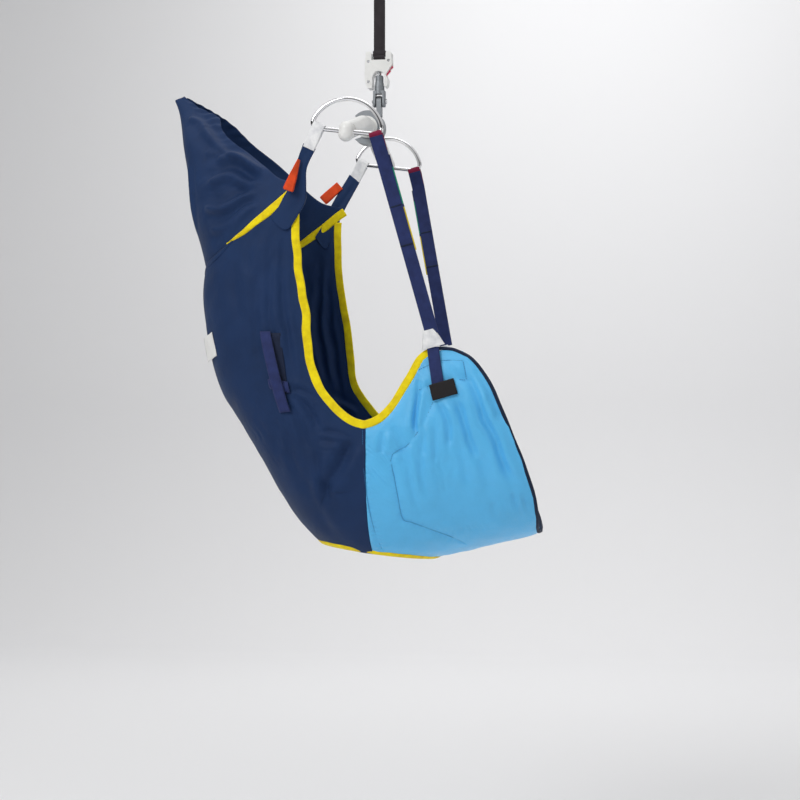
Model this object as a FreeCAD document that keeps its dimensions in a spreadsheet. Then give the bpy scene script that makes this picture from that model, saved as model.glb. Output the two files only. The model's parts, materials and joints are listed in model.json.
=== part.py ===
import FreeCAD, Part
import math
import os
import re
from FreeCAD import Placement, Rotation, Vector

# Overhead patient lift: tape, quick coupling, spreader beam with two strap rings, and hammock sling.
# Row frame: origin at the top face of the anchor bracket, +Z up, +X the way the sling's seat faces,
# +Y along the spreader beam. Everything hangs below the anchor. Lengths are millimetres.

os.makedirs("parts", exist_ok=True)
doc = FreeCAD.newDocument("sling_hoist")

# ---------------------------------------------------------------- driving dimensions
SIZES = {
    # anchor and lift tape
    "bracket_width": 40, "bracket_depth": 30, "web_thick": 5, "cheek_thick": 4,
    "bolt_hole_radius": 5.25, "anchor_pin_depth": 50, "anchor_pin_radius": 5,
    "anchor_pin_length": 50, "thimble_radius": 7, "thimble_length": 30,
    "tape_width": 24, "tape_thick": 2, "tape_pin_depth": 219, "tape_pin_radius": 3.5,
    "tape_loop_width": 28, "pin_clearance": 0.05,
    # quick coupling
    "shell_thick": 12, "stud_radius": 4, "stud_head_radius": 7, "stud_head_thick": 6,
    "cavity_floor": 245, "cavity_roof": 231, "washer_thick": 2,
    "latch_thick": 5, "latch_pivot_x": 17, "latch_pivot_depth": 240, "latch_pin_radius": 1.5,
    "screw_radius": 1.5, "screw_head_radius": 2.8,
    # swivel fork
    "barrel_top": 258, "barrel_bottom": 297, "barrel_top_radius": 8.5, "barrel_low_radius": 10.5,
    "fork_gap": 15, "fork_width": 25, "fork_depth": 18, "fork_end": 321,
    "fork_pin_depth": 313, "fork_pin_radius": 3.5, "fork_pin_length": 31,
    "split_ring_radius": 6.5, "split_ring_wire": 0.5,
    # claw and beam
    "claw_x": -24, "claw_depth": 369, "claw_outer_radius": 36, "claw_inner_radius": 19.5,
    "claw_length": 28, "eye_width": 10, "eye_radius": 9, "shoe_thick": 2.2,
    "sleeve_radius": 18, "beam_tube_radius": 10, "beam_bore_radius": 7.5, "beam_drop": 47,
    "beam_half_span": 225, "beam_flat_half": 34, "arm_bend_radius": 110,
    "collar_radius": 23, "collar_width": 6,
    # strap rings
    "ring_rod_radius": 4.5, "ring_half_width": 72, "ring_height": 65, "ring_corner_radius": 13,
    "ring_tilt": 7.5, "block_radius": 15.5, "block_height": 41,
    # sling cloth and webbing
    "cloth_thick": 2.4, "pad_thick": 7, "edge_tape_thick": 3, "body_length": 1140,
    "seam_gap": 0.5, "strap_width": 27, "strap_thick": 3, "loop_width": 24,
    "shoulder_lead": 3.6, "spare_width": 20, "lengths_stop": 165,
    "opening_rear_x": -98, "opening_rear_depth": 1247, "opening_front_x": 107, "opening_front_depth": 1276,
    "aperture_tape_width": 13, "strap_spread": 209.5, "leg_spread": 176, "stay_thick": 1.6,
    "patch_thick": 1.6, "handle_rise": 13, "far_shift": -26,
}

sheet = doc.addObject("Spreadsheet::Sheet", "dims")
for row, (alias, value) in enumerate(SIZES.items(), 1):
    sheet.set("A%d" % row, alias)
    sheet.set("B%d" % row, str(value))
    sheet.setAlias("B%d" % row, alias)
doc.recompute()

WORD = re.compile(r"[a-z][a-z_]+")
NODES = []


def size(alias):
    """One driving dimension, read back from the sheet."""
    return float(sheet.get(alias))


def formula(text):
    """An expression on the sheet: every word in it is one of the sheet's aliases."""
    return WORD.sub(lambda word: "dims." + word.group(), str(text))


# ---------------------------------------------------------------- small modelling helpers
ALONG_X = Rotation(Vector(0, 1, 0), 90)
ALONG_Y = Rotation(Vector(1, 0, 0), -90)
UPRIGHT = Rotation()


def place(obj, at, turn=UPRIGHT):
    """Put an object at three expressions on the sheet, with a fixed turn."""
    obj.Placement = Placement(Vector(), turn)
    for axis, text in zip("xyz", at):
        obj.setExpression("Placement.Base." + axis, formula(text))
    return obj


def solid(kind, name, at, turn=UPRIGHT, **sizes):
    """A Part primitive whose sizes and place are bound to the sheet."""
    obj = doc.addObject("Part::" + kind, name)
    for prop, text in sizes.items():
        obj.setExpression(prop, formula(text))
    return place(obj, at, turn)


def cylinder(name, at, radius, height, turn=UPRIGHT):
    return solid("Cylinder", name, at, turn, Radius=radius, Height=height)


def block(name, at, length, width, height):
    return solid("Box", name, at, Length=length, Width=width, Height=height)


def join(name, *pieces):
    obj = doc.addObject("Part::MultiFuse", name)
    obj.Shapes = list(pieces)
    return obj


def cut(name, base, *tools):
    obj = doc.addObject("Part::Cut", name)
    obj.Base = base
    obj.Tool = tools[0] if len(tools) == 1 else join(name + "_tools", *tools)
    return obj


def node(obj):
    """Mark an object as a finished sub-part, which is written under its label."""
    obj.Label = obj.Name
    NODES.append(obj)
    return obj


def shaped(name, shape, at=Placement()):
    """A sub-part whose shape is made from surfaces or sweeps, set at a place in the row frame."""
    obj = doc.addObject("Part::Feature", name)
    obj.Shape = shape
    obj.Placement = at.multiply(shape.Placement)
    return node(obj)


def sketch(body, name):
    """A sketch on a body's own XZ plane."""
    obj = body.newObject("Sketcher::SketchObject", name)
    plane = next(item for item in body.Origin.OriginFeatures if item.Role == "XZ_Plane")
    obj.AttachmentSupport = [(plane, "")]
    obj.MapMode = "FlatFace"
    return obj


def rounded(points):
    """Line and arc edges of a closed outline; a point's third value is its corner radius."""
    count = len(points)
    stops = []
    for index, point in enumerate(points):
        here = Vector(point[0], point[1], 0)
        back = Vector(*points[index - 1][:2], 0) - here
        ahead = Vector(*points[(index + 1) % count][:2], 0) - here
        back.normalize()
        ahead.normalize()
        radius = point[2] if len(point) > 2 else 0
        if not radius:
            stops.append((here, None, here))
            continue
        half = back.getAngle(ahead) / 2
        middle = back + ahead
        middle.normalize()
        tip = here + middle * (radius / math.sin(half) - radius)
        reach = radius / math.tan(half)
        stops.append((here + back * reach, tip, here + ahead * reach))
    edges = []
    for index, (start, tip, end) in enumerate(stops):
        if tip is not None:
            edges.append(Part.Arc(start, tip, end))
        following = stops[(index + 1) % count][0]
        if (following - end).Length > 1e-6:
            edges.append(Part.LineSegment(end, following))
    return edges


def padded(name, points, thick, centre=True, flip=False):
    """A PartDesign body: one closed outline padded to a thickness."""
    body = doc.addObject("PartDesign::Body", name)
    profile = sketch(body, name + "_outline")
    profile.addGeometry(rounded(points), False)
    pad = body.newObject("PartDesign::Pad", name + "_pad")
    pad.Profile = profile
    pad.setExpression("Length", formula(thick))
    pad.Midplane = centre
    pad.Reversed = flip
    body.Tip = pad
    return body


def turned(name, points):
    """A PartDesign body: an outline revolved about the sketch's upright axis."""
    body = doc.addObject("PartDesign::Body", name)
    profile = sketch(body, name + "_profile")
    profile.addGeometry(rounded(points), False)
    spin = body.newObject("PartDesign::Revolution", name + "_turn")
    spin.Profile = profile
    spin.ReferenceAxis = (profile, ["V_Axis"])
    spin.Angle = 360
    body.Tip = spin
    return body


# ---------------------------------------------------------------- anchor and lift tape
def make_anchor():
    half = size("bracket_width") / 2
    drop = -(size("anchor_pin_depth") + 12)
    wall = size("cheek_thick")
    under = -size("web_thick")
    outline = [(-half, 0, 6), (half, 0, 6), (half, drop, 3), (half - wall, drop), (half - wall, under, 3),
               (wall - half, under, 3), (wall - half, drop), (-half, drop, 3)]
    raw = padded("anchor_bracket_blank", outline, "bracket_depth")
    bolt = cylinder("anchor_bolt_hole", (0, 0, "-web_thick * 2"), "bolt_hole_radius", "web_thick * 3")
    hole = cylinder("anchor_pin_hole", ("-bracket_width", 0, "-anchor_pin_depth"),
                    "anchor_pin_radius + pin_clearance", "bracket_width * 2", ALONG_X)
    node(cut("anchor_bracket", raw, bolt, hole))

    shank = cylinder("anchor_pin_shank", ("-bracket_width / 2 - 1", 0, "-anchor_pin_depth"),
                     "anchor_pin_radius", "anchor_pin_length - 3", ALONG_X)
    head = cylinder("anchor_pin_head", ("-bracket_width / 2 - 4", 0, "-anchor_pin_depth"),
                    "anchor_pin_radius + 2.5", "3.5", ALONG_X)
    groove_ring = cylinder("anchor_pin_groove_ring", ("bracket_width / 2 + 1", 0, "-anchor_pin_depth"),
                           "anchor_pin_radius + 2", "1.2", ALONG_X)
    groove_core = cylinder("anchor_pin_groove_core", ("bracket_width / 2", 0, "-anchor_pin_depth"),
                           "anchor_pin_radius - 1", "4", ALONG_X)
    groove = cut("anchor_pin_groove", groove_ring, groove_core)
    node(cut("anchor_pin", join("anchor_pin_raw", shank, head), groove))

    clip_disc = cylinder("anchor_clip_disc", ("bracket_width / 2 + 1.1", 0, "-anchor_pin_depth"),
                         "anchor_pin_radius + 3.5", "1", ALONG_X)
    clip_hole = cylinder("anchor_clip_hole", ("bracket_width / 2", 0, "-anchor_pin_depth"),
                         "anchor_pin_radius - 0.9", "4", ALONG_X)
    clip_slot = block("anchor_clip_slot", ("bracket_width / 2", "-3", "-anchor_pin_depth - 14"),
                      "4", "6", "14")
    node(cut("anchor_clip", clip_disc, clip_hole, clip_slot))

    sleeve = cylinder("tape_thimble_outer", ("-thimble_length / 2", 0, "-anchor_pin_depth"),
                      "thimble_radius", "thimble_length", ALONG_X)
    bore = cylinder("tape_thimble_bore", ("-thimble_length", 0, "-anchor_pin_depth"),
                    "anchor_pin_radius + pin_clearance", "thimble_length * 2", ALONG_X)
    node(cut("tape_thimble", sleeve, bore))

    upper = cylinder("tape_top_loop", ("-tape_width / 2", 0, "-anchor_pin_depth"),
                     "thimble_radius + tape_thick", "tape_width", ALONG_X)
    lower = cylinder("tape_low_loop", ("-tape_loop_width / 2", 0, "-tape_pin_depth"),
                     "tape_pin_radius + tape_thick", "tape_loop_width", ALONG_X)
    run = block("tape_run", ("-tape_width / 2", "-tape_thick", "-tape_pin_depth"),
                "tape_width", "tape_thick * 2", "tape_pin_depth - anchor_pin_depth")
    eye = cylinder("tape_top_eye", ("-tape_width", 0, "-anchor_pin_depth"),
                   "thimble_radius + pin_clearance", "tape_width * 2", ALONG_X)
    foot = cylinder("tape_low_eye", ("-tape_width", 0, "-tape_pin_depth"),
                    "tape_pin_radius + pin_clearance", "tape_width * 2", ALONG_X)
    node(cut("lift_tape", join("tape_raw", upper, run, lower), eye, foot))


# ---------------------------------------------------------------- quick coupling
HOUSING = [(-27, -208, 4), (-15.5, -208, 4), (-15.5, -226, 2), (15.5, -226, 2), (15.5, -208, 4), (27, -208, 5),
           (28, -238, 2), (15, -257, 2), (20, -268, 6), (19, -281, 6), (11, -288, 3), (13, -262, 6), (9, -253),
           (4, -250, 4), (-7, -250, 8), (-13, -260, 10), (-14, -286, 3), (-24, -286, 6), (-30, -268, 14),
           (-29, -232, 20)]
SCREWS = [(-21.5, -272), (-21.5, -229), (21.5, -228)]


def make_coupling():
    latch_pocket = [(7, -262), (7, -232, 2), (34, -232), (34, -262)]
    for name, side, sign in (("coupling_front_shell", "front", -1), ("coupling_back_shell", "back", 1)):
        raw = padded(side + "_shell_blank", HOUSING, "shell_thick", centre=False, flip=sign > 0)
        pin = cylinder(side + "_tape_pin_bed", ("-40", 0, "-tape_pin_depth"),
                       "tape_pin_radius + pin_clearance", "80", ALONG_X)
        neck = cylinder(side + "_stud_bore", (0, 0, "-cavity_floor - 10"), "stud_radius + pin_clearance",
                        "16")
        cavity = cylinder(side + "_stud_cavity", (0, 0, "-cavity_floor"), "stud_head_radius + 0.4",
                          "cavity_floor - cavity_roof")
        pocket = padded(side + "_latch_pocket", latch_pocket, "latch_thick + 0.6")
        pivot = cylinder(side + "_latch_pin_hole", ("latch_pivot_x", "-10", "-latch_pivot_depth"),
                         "latch_pin_radius + 0.02", "20", ALONG_Y)
        tools = [pin, neck, cavity, pocket, pivot]
        if sign > 0:
            tools.append(cylinder("latch_spring_seat", ("latch_pivot_x", 0, "-latch_pivot_depth"),
                                  "4", "8", ALONG_Y))
        for index, (x, z) in enumerate(SCREWS):
            tools.append(cylinder("%s_screw_hole_%d" % (side, index), (x, "-20", z), "screw_radius + 0.1",
                                  "40", ALONG_Y))
            if sign < 0:
                tools.append(cylinder("front_screw_seat_%d" % index, (x, "-shell_thick - 1", z),
                                      "screw_head_radius + 0.3", "3.5", ALONG_Y))
        node(cut(name, raw, *tools))

    node(cylinder("tape_pin", ("-27", 0, "-tape_pin_depth"), "tape_pin_radius", "54", ALONG_X))
    screws = []
    for index, (x, z) in enumerate(SCREWS):
        screws.append(cylinder("screw_shank_%d" % index, (x, "-shell_thick + 2", z), "screw_radius",
                               "shell_thick * 2 - 3", ALONG_Y))
        screws.append(cylinder("screw_head_%d" % index, (x, "-shell_thick + 0.3", z), "screw_head_radius",
                               "2.2", ALONG_Y))
    node(join("coupling_screws", *screws))
    node(cylinder("latch_pin", ("latch_pivot_x", "-9.5", "-latch_pivot_depth"), "latch_pin_radius",
                  "19", ALONG_Y))

    disc = cylinder("thrust_washer_disc", (0, 0, "-cavity_floor"), "stud_head_radius", "washer_thick")
    hole = cylinder("thrust_washer_hole", (0, 0, "-cavity_floor - 1"), "stud_radius + 0.15",
                    "washer_thick * 2")
    node(cut("thrust_washer", disc, hole))

    coil_radius = 2.7
    wire = 0.4
    coil = Part.makeHelix(1.1, 3.6, coil_radius)
    section = Part.Wire(Part.makeCircle(wire, Vector(coil_radius, 0, 0), Vector(0, 1, 0)))
    spring = Part.Wire(coil).makePipeShell([section], True, True)
    seat = Placement(Vector(size("latch_pivot_x"), 3.6, -size("latch_pivot_depth")), ALONG_Y)
    shaped("latch_spring", spring, seat)

    outline = [(7.5, -250, 1), (9.5, -246, 1), (11, -236, 3), (20, -235.5, 2), (29, -238, 1.5),
               (30, -241.5, 1.5), (23, -246, 1), (24.5, -249.5, 1), (13, -261, 2)]
    lever = padded("latch_lever", outline, "latch_thick")
    bore = cylinder("latch_bore", ("latch_pivot_x", "-10", "-latch_pivot_depth"), "latch_pin_radius + 0.05",
                    "20", ALONG_Y)
    node(cut("safety_latch", lever, bore))


# ---------------------------------------------------------------- swivel fork
def make_swivel():
    shaft = cylinder("stud_shaft", (0, 0, "-barrel_top - 10"), "stud_radius",
                     "barrel_top + 10 - cavity_floor + 3")
    head = cylinder("stud_head", (0, 0, "-cavity_floor + washer_thick + 0.05"), "stud_head_radius",
                    "stud_head_thick")
    node(join("swivel_stud", shaft, head))

    top = -size("barrel_top")
    low = -size("barrel_bottom")
    narrow = size("barrel_top_radius")
    wide = size("barrel_low_radius")
    barrel = turned("fork_barrel", [(0, top), (narrow, top, 2.5), (narrow, top - 14, 4), (wide, top - 22, 4),
                                    (wide, low), (0, low)])
    yoke = block("fork_block", ("-fork_width / 2", "-fork_depth / 2", "-fork_end - 4"), "fork_width",
                 "fork_depth", "fork_end + 4 - barrel_bottom + 6")
    soft = doc.addObject("Part::Fillet", "fork_block_rounded")
    soft.Base = yoke
    doc.recompute()
    corners = []
    for index, edge in enumerate(yoke.Shape.Edges, 1):
        run = edge.Vertexes[0].Point - edge.Vertexes[1].Point
        if abs(run.x) > 1 and edge.CenterOfMass.z < -300:
            corners.append((index, 8.5, 8.5))
        elif abs(run.z) > 1:
            corners.append((index, 2.0, 2.0))
    soft.Edges = corners
    gap = block("fork_slot", ("-fork_gap / 2", "-fork_depth", "-fork_end - 10"), "fork_gap", "fork_depth * 2",
                "fork_end + 10 - barrel_bottom")
    bore = cylinder("fork_pin_bore", ("-fork_width", 0, "-fork_pin_depth"), "fork_pin_radius + pin_clearance",
                    "fork_width * 2", ALONG_X)
    thread = cylinder("fork_stud_bore", (0, 0, "-barrel_top - 10"), "stud_radius + 0.02", "20")
    node(cut("swivel_fork", join("fork_raw", barrel, soft), gap, bore, thread))

    shank = cylinder("fork_pin_shank", ("-fork_width / 2 - 3", 0, "-fork_pin_depth"), "fork_pin_radius",
                     "fork_pin_length", ALONG_X)
    cap = cylinder("fork_pin_cap", ("fork_width / 2 + 0.1", 0, "-fork_pin_depth"), "fork_pin_radius + 2",
                   "3", ALONG_X)
    hole = cylinder("fork_pin_cross_hole", ("-fork_width / 2 - 1.7", "-8", "-fork_pin_depth - 0.5"),
                    "1.1", "16", ALONG_Y)
    node(cut("fork_pin", join("fork_pin_raw", shank, cap), hole))
    ring = doc.addObject("Part::Torus", "fork_pin_clip")
    ring.setExpression("Radius1", formula("split_ring_radius"))
    ring.setExpression("Radius2", formula("split_ring_wire"))
    place(ring, ("-fork_width / 2 - 1.7", "0", "-fork_pin_depth - split_ring_radius"), ALONG_X)
    return ring


# ---------------------------------------------------------------- claw
def make_claw():
    x0 = size("claw_x")
    z0 = -size("claw_depth")
    big = size("claw_outer_radius")
    small = size("claw_inner_radius")

    def rim(radius, degrees):
        angle = math.radians(degrees)
        return Vector(x0 + radius * math.cos(angle), z0 + radius * math.sin(angle), 0)

    tip = 137
    root = 108
    edges = [Part.Arc(rim(big, -tip), rim(big, 0), rim(big, tip)),
             Part.LineSegment(rim(big, tip), rim(small, root)),
             Part.Arc(rim(small, root), rim(small, 0), rim(small, -root)),
             Part.LineSegment(rim(small, -root), rim(big, -tip))]
    body = doc.addObject("PartDesign::Body", "claw_hook")
    profile = sketch(body, "claw_hook_outline")
    profile.addGeometry(edges, False)
    pad = body.newObject("PartDesign::Pad", "claw_hook_pad")
    pad.Profile = profile
    pad.setExpression("Length", formula("claw_length"))
    pad.Midplane = True
    body.Tip = pad

    tongue = block("claw_tongue", ("-eye_width / 2", "-eye_radius", "-claw_depth + 24"), "eye_width",
                   "eye_radius * 2", "claw_depth - 24 - fork_pin_depth")
    knuckle = cylinder("claw_knuckle", ("-eye_width / 2", 0, "-fork_pin_depth"), "eye_radius",
                       "eye_width", ALONG_X)
    bore = cylinder("claw_eye_bore", ("-20", 0, "-fork_pin_depth"), "fork_pin_radius + pin_clearance",
                    "40", ALONG_X)
    node(cut("beam_claw", join("claw_raw", body, tongue, knuckle), bore))

    half = size("eye_width") / 2
    wall = size("shoe_thick")
    roof = -size("fork_pin_depth") + size("eye_radius") + 0.05
    outline = [(-half - wall, roof + wall, 4), (half + wall, roof + wall, 4), (half + wall, roof - 20, 1),
               (half + 0.05, roof - 20), (half + 0.05, roof), (-half - 0.05, roof),
               (-half - 0.05, roof - 20), (-half - wall, roof - 20, 1)]
    shoe = padded("eye_shoe_blank", outline, "eye_radius")
    hole = cylinder("eye_shoe_bore", ("-20", 0, "-fork_pin_depth"), "fork_pin_radius + pin_clearance",
                    "40", ALONG_X)
    node(cut("eye_shoe", shoe, hole))

    outer = cylinder("claw_liner_outer", ("claw_x", "-claw_length / 2 - 1", "-claw_depth"),
                     "claw_inner_radius - 0.02", "claw_length + 2", ALONG_Y)
    inner = cylinder("claw_liner_inner", ("claw_x", "-claw_length", "-claw_depth"),
                     "sleeve_radius + pin_clearance", "claw_length * 2", ALONG_Y)
    mouth = block("claw_liner_mouth", ("claw_x - 40", "-claw_length", "-claw_depth - 16"), "36",
                  "claw_length * 2", "32")
    node(cut("claw_liner", outer, inner, mouth))


# ---------------------------------------------------------------- spreader beam and rings
def beam_route(start, end):
    """The near or far stretch of the beam's centre line: level at the claw, then bending down and out."""
    flat = size("beam_flat_half")
    drop = size("beam_drop")
    bend = size("arm_bend_radius")
    x0 = size("claw_x")
    z0 = -size("claw_depth")
    span = size("beam_half_span")
    points = [Vector(x0, -span, z0 - drop), Vector(x0, -flat - 20, z0), Vector(x0, flat + 20, z0),
              Vector(x0, span, z0 - drop)]
    edges = []
    last = points[0] + (points[1] - points[0]).normalize() * start
    for index in (1, 2):
        here = points[index]
        back = (points[index - 1] - here).normalize()
        ahead = (points[index + 1] - here).normalize()
        half = back.getAngle(ahead) / 2
        reach = bend / math.tan(half)
        middle = (back + ahead).normalize()
        tip = here + middle * (bend / math.sin(half) - bend)
        edges.append(Part.LineSegment(last, here + back * reach).toShape())
        edges.append(Part.Arc(here + back * reach, tip, here + ahead * reach).toShape())
        last = here + ahead * reach
    outward = (points[3] - points[2]).normalize()
    edges.append(Part.LineSegment(last, points[3] - outward * end).toShape())
    return Part.Wire(edges)


def tube(route, radius):
    """A round bar of one radius along a smooth route."""
    first = route.OrderedEdges[0]
    start = first.valueAt(first.FirstParameter)
    along = first.tangentAt(first.FirstParameter)
    ring = Part.Wire(Part.makeCircle(radius, start, along))
    return route.makePipeShell([ring], True, True)


def make_beam():
    core = tube(beam_route(6, 6), size("beam_tube_radius"))
    core = core.cut(tube(beam_route(3, 3), size("beam_bore_radius")))
    shaped("beam_core", core)
    skin = tube(beam_route(12, 12), size("sleeve_radius"))
    shaped("beam_sleeve", skin.cut(tube(beam_route(4, 4), size("beam_tube_radius") + 0.02)))
    reach = size("claw_length") / 2 + 1.2
    rings = []
    for near in (-reach - size("collar_width"), reach):
        at = Vector(size("claw_x"), near, -size("claw_depth"))
        disc = Part.makeCylinder(size("collar_radius"), size("collar_width"), at, Vector(0, 1, 0))
        bore = Part.makeCylinder(size("sleeve_radius") + 0.02, size("collar_width"), at, Vector(0, 1, 0))
        rings.append(disc.cut(bore))
    shaped("beam_collars", Part.makeCompound(rings))


def ring_route():
    """The ring's centre line in its own plane: a straight bar under one tall arch with small corners."""
    half = size("ring_half_width")
    top = size("ring_height")
    corner = size("ring_corner_radius")
    waist = corner * 0.9
    big = (half ** 2 + (top - waist) ** 2) / (2 * (top - waist))
    centre = top - big
    x = math.sqrt((big - corner) ** 2 - (corner - centre) ** 2)
    direction = Vector(x, 0, corner - centre).normalize()
    join_point = Vector(0, 0, centre) + direction * big
    middle = Vector(x, 0, corner) + (direction + Vector(0, 0, -1)).normalize() * corner

    def mirror(point):
        return Vector(-point.x, point.y, point.z)

    foot = Vector(x, 0, 0)
    return Part.Wire([
        Part.LineSegment(mirror(foot), foot).toShape(), Part.Arc(foot, middle, join_point).toShape(),
        Part.Arc(join_point, Vector(0, 0, top), mirror(join_point)).toShape(),
        Part.Arc(mirror(join_point), mirror(middle), mirror(foot)).toShape()])


def beam_end(sign):
    """Centre of the near (-1) or far (+1) end of the beam."""
    return Vector(size("claw_x"), sign * size("beam_half_span"), -size("claw_depth") - size("beam_drop"))


def make_rings():
    tilt = Rotation(Vector(0, 1, 0), size("ring_tilt"))
    rod = size("ring_rod_radius")
    for name, sign in (("near", -1), ("far", 1)):
        at = Placement(beam_end(sign), tilt)
        shaped(name + "_ring", tube(ring_route(), rod), at)

        wide = size("block_radius")
        tall = size("block_height") / 2
        low = Part.makeSphere(wide, Vector(0, 0, wide - tall))
        high = Part.makeSphere(wide, Vector(0, 0, tall - wide))
        waist = Part.makeCylinder(wide, 2 * (tall - wide), Vector(0, 0, wide - tall))
        cap = low.fuse(waist).fuse(high).removeSplitter()
        cap = cap.cut(Part.makeCylinder(rod + 0.02, 80, Vector(-40, 0, 0), Vector(1, 0, 0)))
        cap = cap.transformed(at.toMatrix())
        cap = cap.cut(tube(beam_route(5, 5), size("beam_tube_radius") + 0.02))
        cap = cap.cut(tube(beam_route(12, 12), size("sleeve_radius") + 0.02))
        shaped(name + "_end_block", cap)


# ---------------------------------------------------------------- sling surface
# Each station is one U-shaped section of the hammock, from its middle line (x, z) to its side edge
# (x, half width, z). Reach is how flat the section's middle is, belly how far its side bulges, bow how
# far the section leans out of its plane, and far x, z how far the far edge sits from the near one.
BODY_STATIONS = [
    # middle x, z,   edge x, y, z,       reach, belly, bow, far x, z
    (-364, -670, -122, 203, -508, 0.66, 1.02, 10, 0, 0),
    (-369, -722, -127, 203, -600, 0.66, 1.03, 4, 0, 0),
    (-364, -775, -121, 203, -673, 0.68, 1.04, 0, 0, 0),
    (-354, -830, -112, 204, -735, 0.70, 1.05, 0, 0, 0),
    (-340, -890, -101, 205, -790, 0.70, 1.06, 0, 0, 0),
    (-319, -943, -98, 205, -843, 0.70, 1.06, 0, 0, 0),
    (-286, -992, -92, 205, -887, 0.70, 1.07, 0, 0, 0),
    (-246, -1058, -73, 205, -927, 0.68, 1.08, 0, 0, 0),
    (-203, -1132, -50, 205, -957, 0.66, 1.10, 0, 0, 0),
    (-157, -1200, -28, 205, -978, 0.62, 1.13, 0, 0, 0),
    (-104, -1252, -12, 205, -988, 0.56, 1.16, 0, -2, 0),
    (-47, -1286, 0, 204, -992, 0.52, 1.18, 0, -4, 0),
    (12, -1300, 12, 203, -993, 0.50, 1.20, 0, -8, 0),
    (66, -1291, 36, 198, -981, 0.54, 1.24, 0, -12, 0),
    (115, -1274, 61, 190, -953, 0.62, 1.30, 0, -16, 0),
    (172, -1258, 88, 180, -905, 0.70, 1.36, 4, -20, 0),
    (222, -1245, 112, 172, -864, 0.76, 1.40, 12, -23, 0),
    (280, -1232, 142, 168, -846, 0.80, 1.41, 26, -27, 0),
    (342, -1217, 195, 168, -848, 0.82, 1.38, 40, -34, 0),
]
HOOD_STATIONS = [
    (-364, -670, -122, 203, -508, 0.66, 1.02, 10, 0, 0),
    (-380, -600, -166, 188, -502, 0.70, 1.00, 8, -2, 6),
    (-397, -530, -208, 162, -470, 0.72, 0.98, 8, -4, 12),
    (-408, -470, -250, 136, -436, 0.74, 0.97, 2, -6, 20),
    (-419, -405, -296, 108, -402, 0.74, 0.95, 0, -8, 26),
    (-428, -360, -333, 76, -364, 0.72, 0.92, 0, -8, 26),
    (-437, -322, -376, 40, -326, 0.70, 0.90, 0, -6, 16),
    (-447, -296, -424, 10, -290, 0.66, 0.90, 0, 0, 2),
]
# Where the pieces meet, as shares of the stations' run and of the half width.
NECK_SEAM = 0.018
PANEL_SEAM = 12 / 18
KNEE_SEAM = 0.993
SIDE_SEAM = 0.974
SIDE_GAP = 0.0015
BAND_END = 0.6
# From here to the knees the section squares off, and the far wall hangs straight.
FRONT_START = 0.78
BINDING_START = 0.605


def blend(rows, place):
    """A smooth value along evenly spaced stations (Catmull-Rom)."""
    last = len(rows) - 1
    at = min(max(place, 0.0), 1.0) * last
    index = min(int(at), last - 1)
    step = at - index
    result = []
    for column in range(len(rows[0])):
        before, start, end, after = (rows[min(max(index + shift, 0), last)][column]
                                     for shift in (-1, 0, 1, 2))
        if index == 0:
            before = 2 * start - end
        if index == last - 1:
            after = 2 * end - start
        slope_in = (end - before) / 2
        slope_out = (after - start) / 2
        rise = end - start
        result.append(start + slope_in * step + (3 * rise - 2 * slope_in - slope_out) * step ** 2
                      + (slope_in + slope_out - 2 * rise) * step ** 3)
    return result


def sling_point(rows, along, across):
    """A point of the cloth: along 0..1 runs over the stations, across -1..1 from near edge to far edge."""
    mid_x, mid_z, edge_x, half, edge_z, reach, belly, bow, far_x, far_z = blend(rows, along)
    part = abs(across)
    if across > 0:
        edge_x += far_x
        edge_z += far_z
    rest = 1 - part
    climb = 3 * rest * part ** 2 * 0.22 + part ** 3
    wide = half * (3 * rest ** 2 * part * reach + 3 * rest * part ** 2 * belly + part ** 3)
    chord_x = edge_x - mid_x
    chord_z = edge_z - mid_z
    length = math.hypot(chord_x, chord_z)
    level = (1 - 2 * climb) ** 2
    front = min(max((along - FRONT_START) / (1 - FRONT_START), 0), 1) ** 2
    lean = (0.8 - 1.4 * along) * (1 - 2 * climb) * (1 - front)
    push = (1 - level) * (1 + front * level) * (1 + lean) * bow / length
    if across > 0:
        push *= 1 - front
    x = mid_x + chord_x * climb + chord_z * push
    z = mid_z + chord_z * climb - chord_x * push
    return Vector(x, math.copysign(wide, across), z)


def sling_normal(rows, along, across):
    """Unit normal of the cloth, pointing out of the hammock."""
    step = 0.004
    first = sling_point(rows, min(along + step, 1), across) - sling_point(rows, max(along - step, 0), across)
    if across < 0:
        side = sling_point(rows, along, min(across + step, -1e-9)) - sling_point(rows, along, across - step)
    else:
        side = sling_point(rows, along, across + step) - sling_point(rows, along, max(across - step, 1e-9))
    normal = side.cross(first)
    return normal.normalize()


def between(point_at, inner, outer, counts):
    """A solid between two offset skins: point_at(i, j, offset) with i and j running 0..1."""
    faces = []
    for offset in (inner, outer):
        lines = [[point_at(i / (counts[0] - 1), j / (counts[1] - 1), offset) for j in range(counts[1])]
                 for i in range(counts[0])]
        surface = Part.BSplineSurface()
        surface.interpolate(lines)
        faces.append(surface.toShape())

    def middle(edge):
        return edge.valueAt((edge.FirstParameter + edge.LastParameter) / 2)

    walls = []
    for low in faces[0].Edges:
        high = min(faces[1].Edges, key=lambda edge: (middle(edge) - middle(low)).Length)
        start = low.valueAt(low.FirstParameter)
        ends = [(high.valueAt(place) - start).Length for place in (high.FirstParameter, high.LastParameter)]
        walls.append(Part.makeRuledSurface(low, high, 1 if ends[0] < ends[1] else 2))
    shell = Part.makeShell(faces + walls)
    shell.sewShape()
    result = Part.makeSolid(shell)
    if result.Volume < 0:
        result.reverse()
    return result


def patch(rows, along, across, inner, outer, counts=(13, 25)):
    """A piece of cloth over one stretch of the sling's surface, between two offsets from it."""
    def point_at(i, j, offset):
        v = along[0] + (along[1] - along[0]) * i
        w = across[0] + (across[1] - across[0]) * j
        return sling_point(rows, v, w) + sling_normal(rows, v, w) * offset
    return between(point_at, inner, outer, counts)


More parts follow.
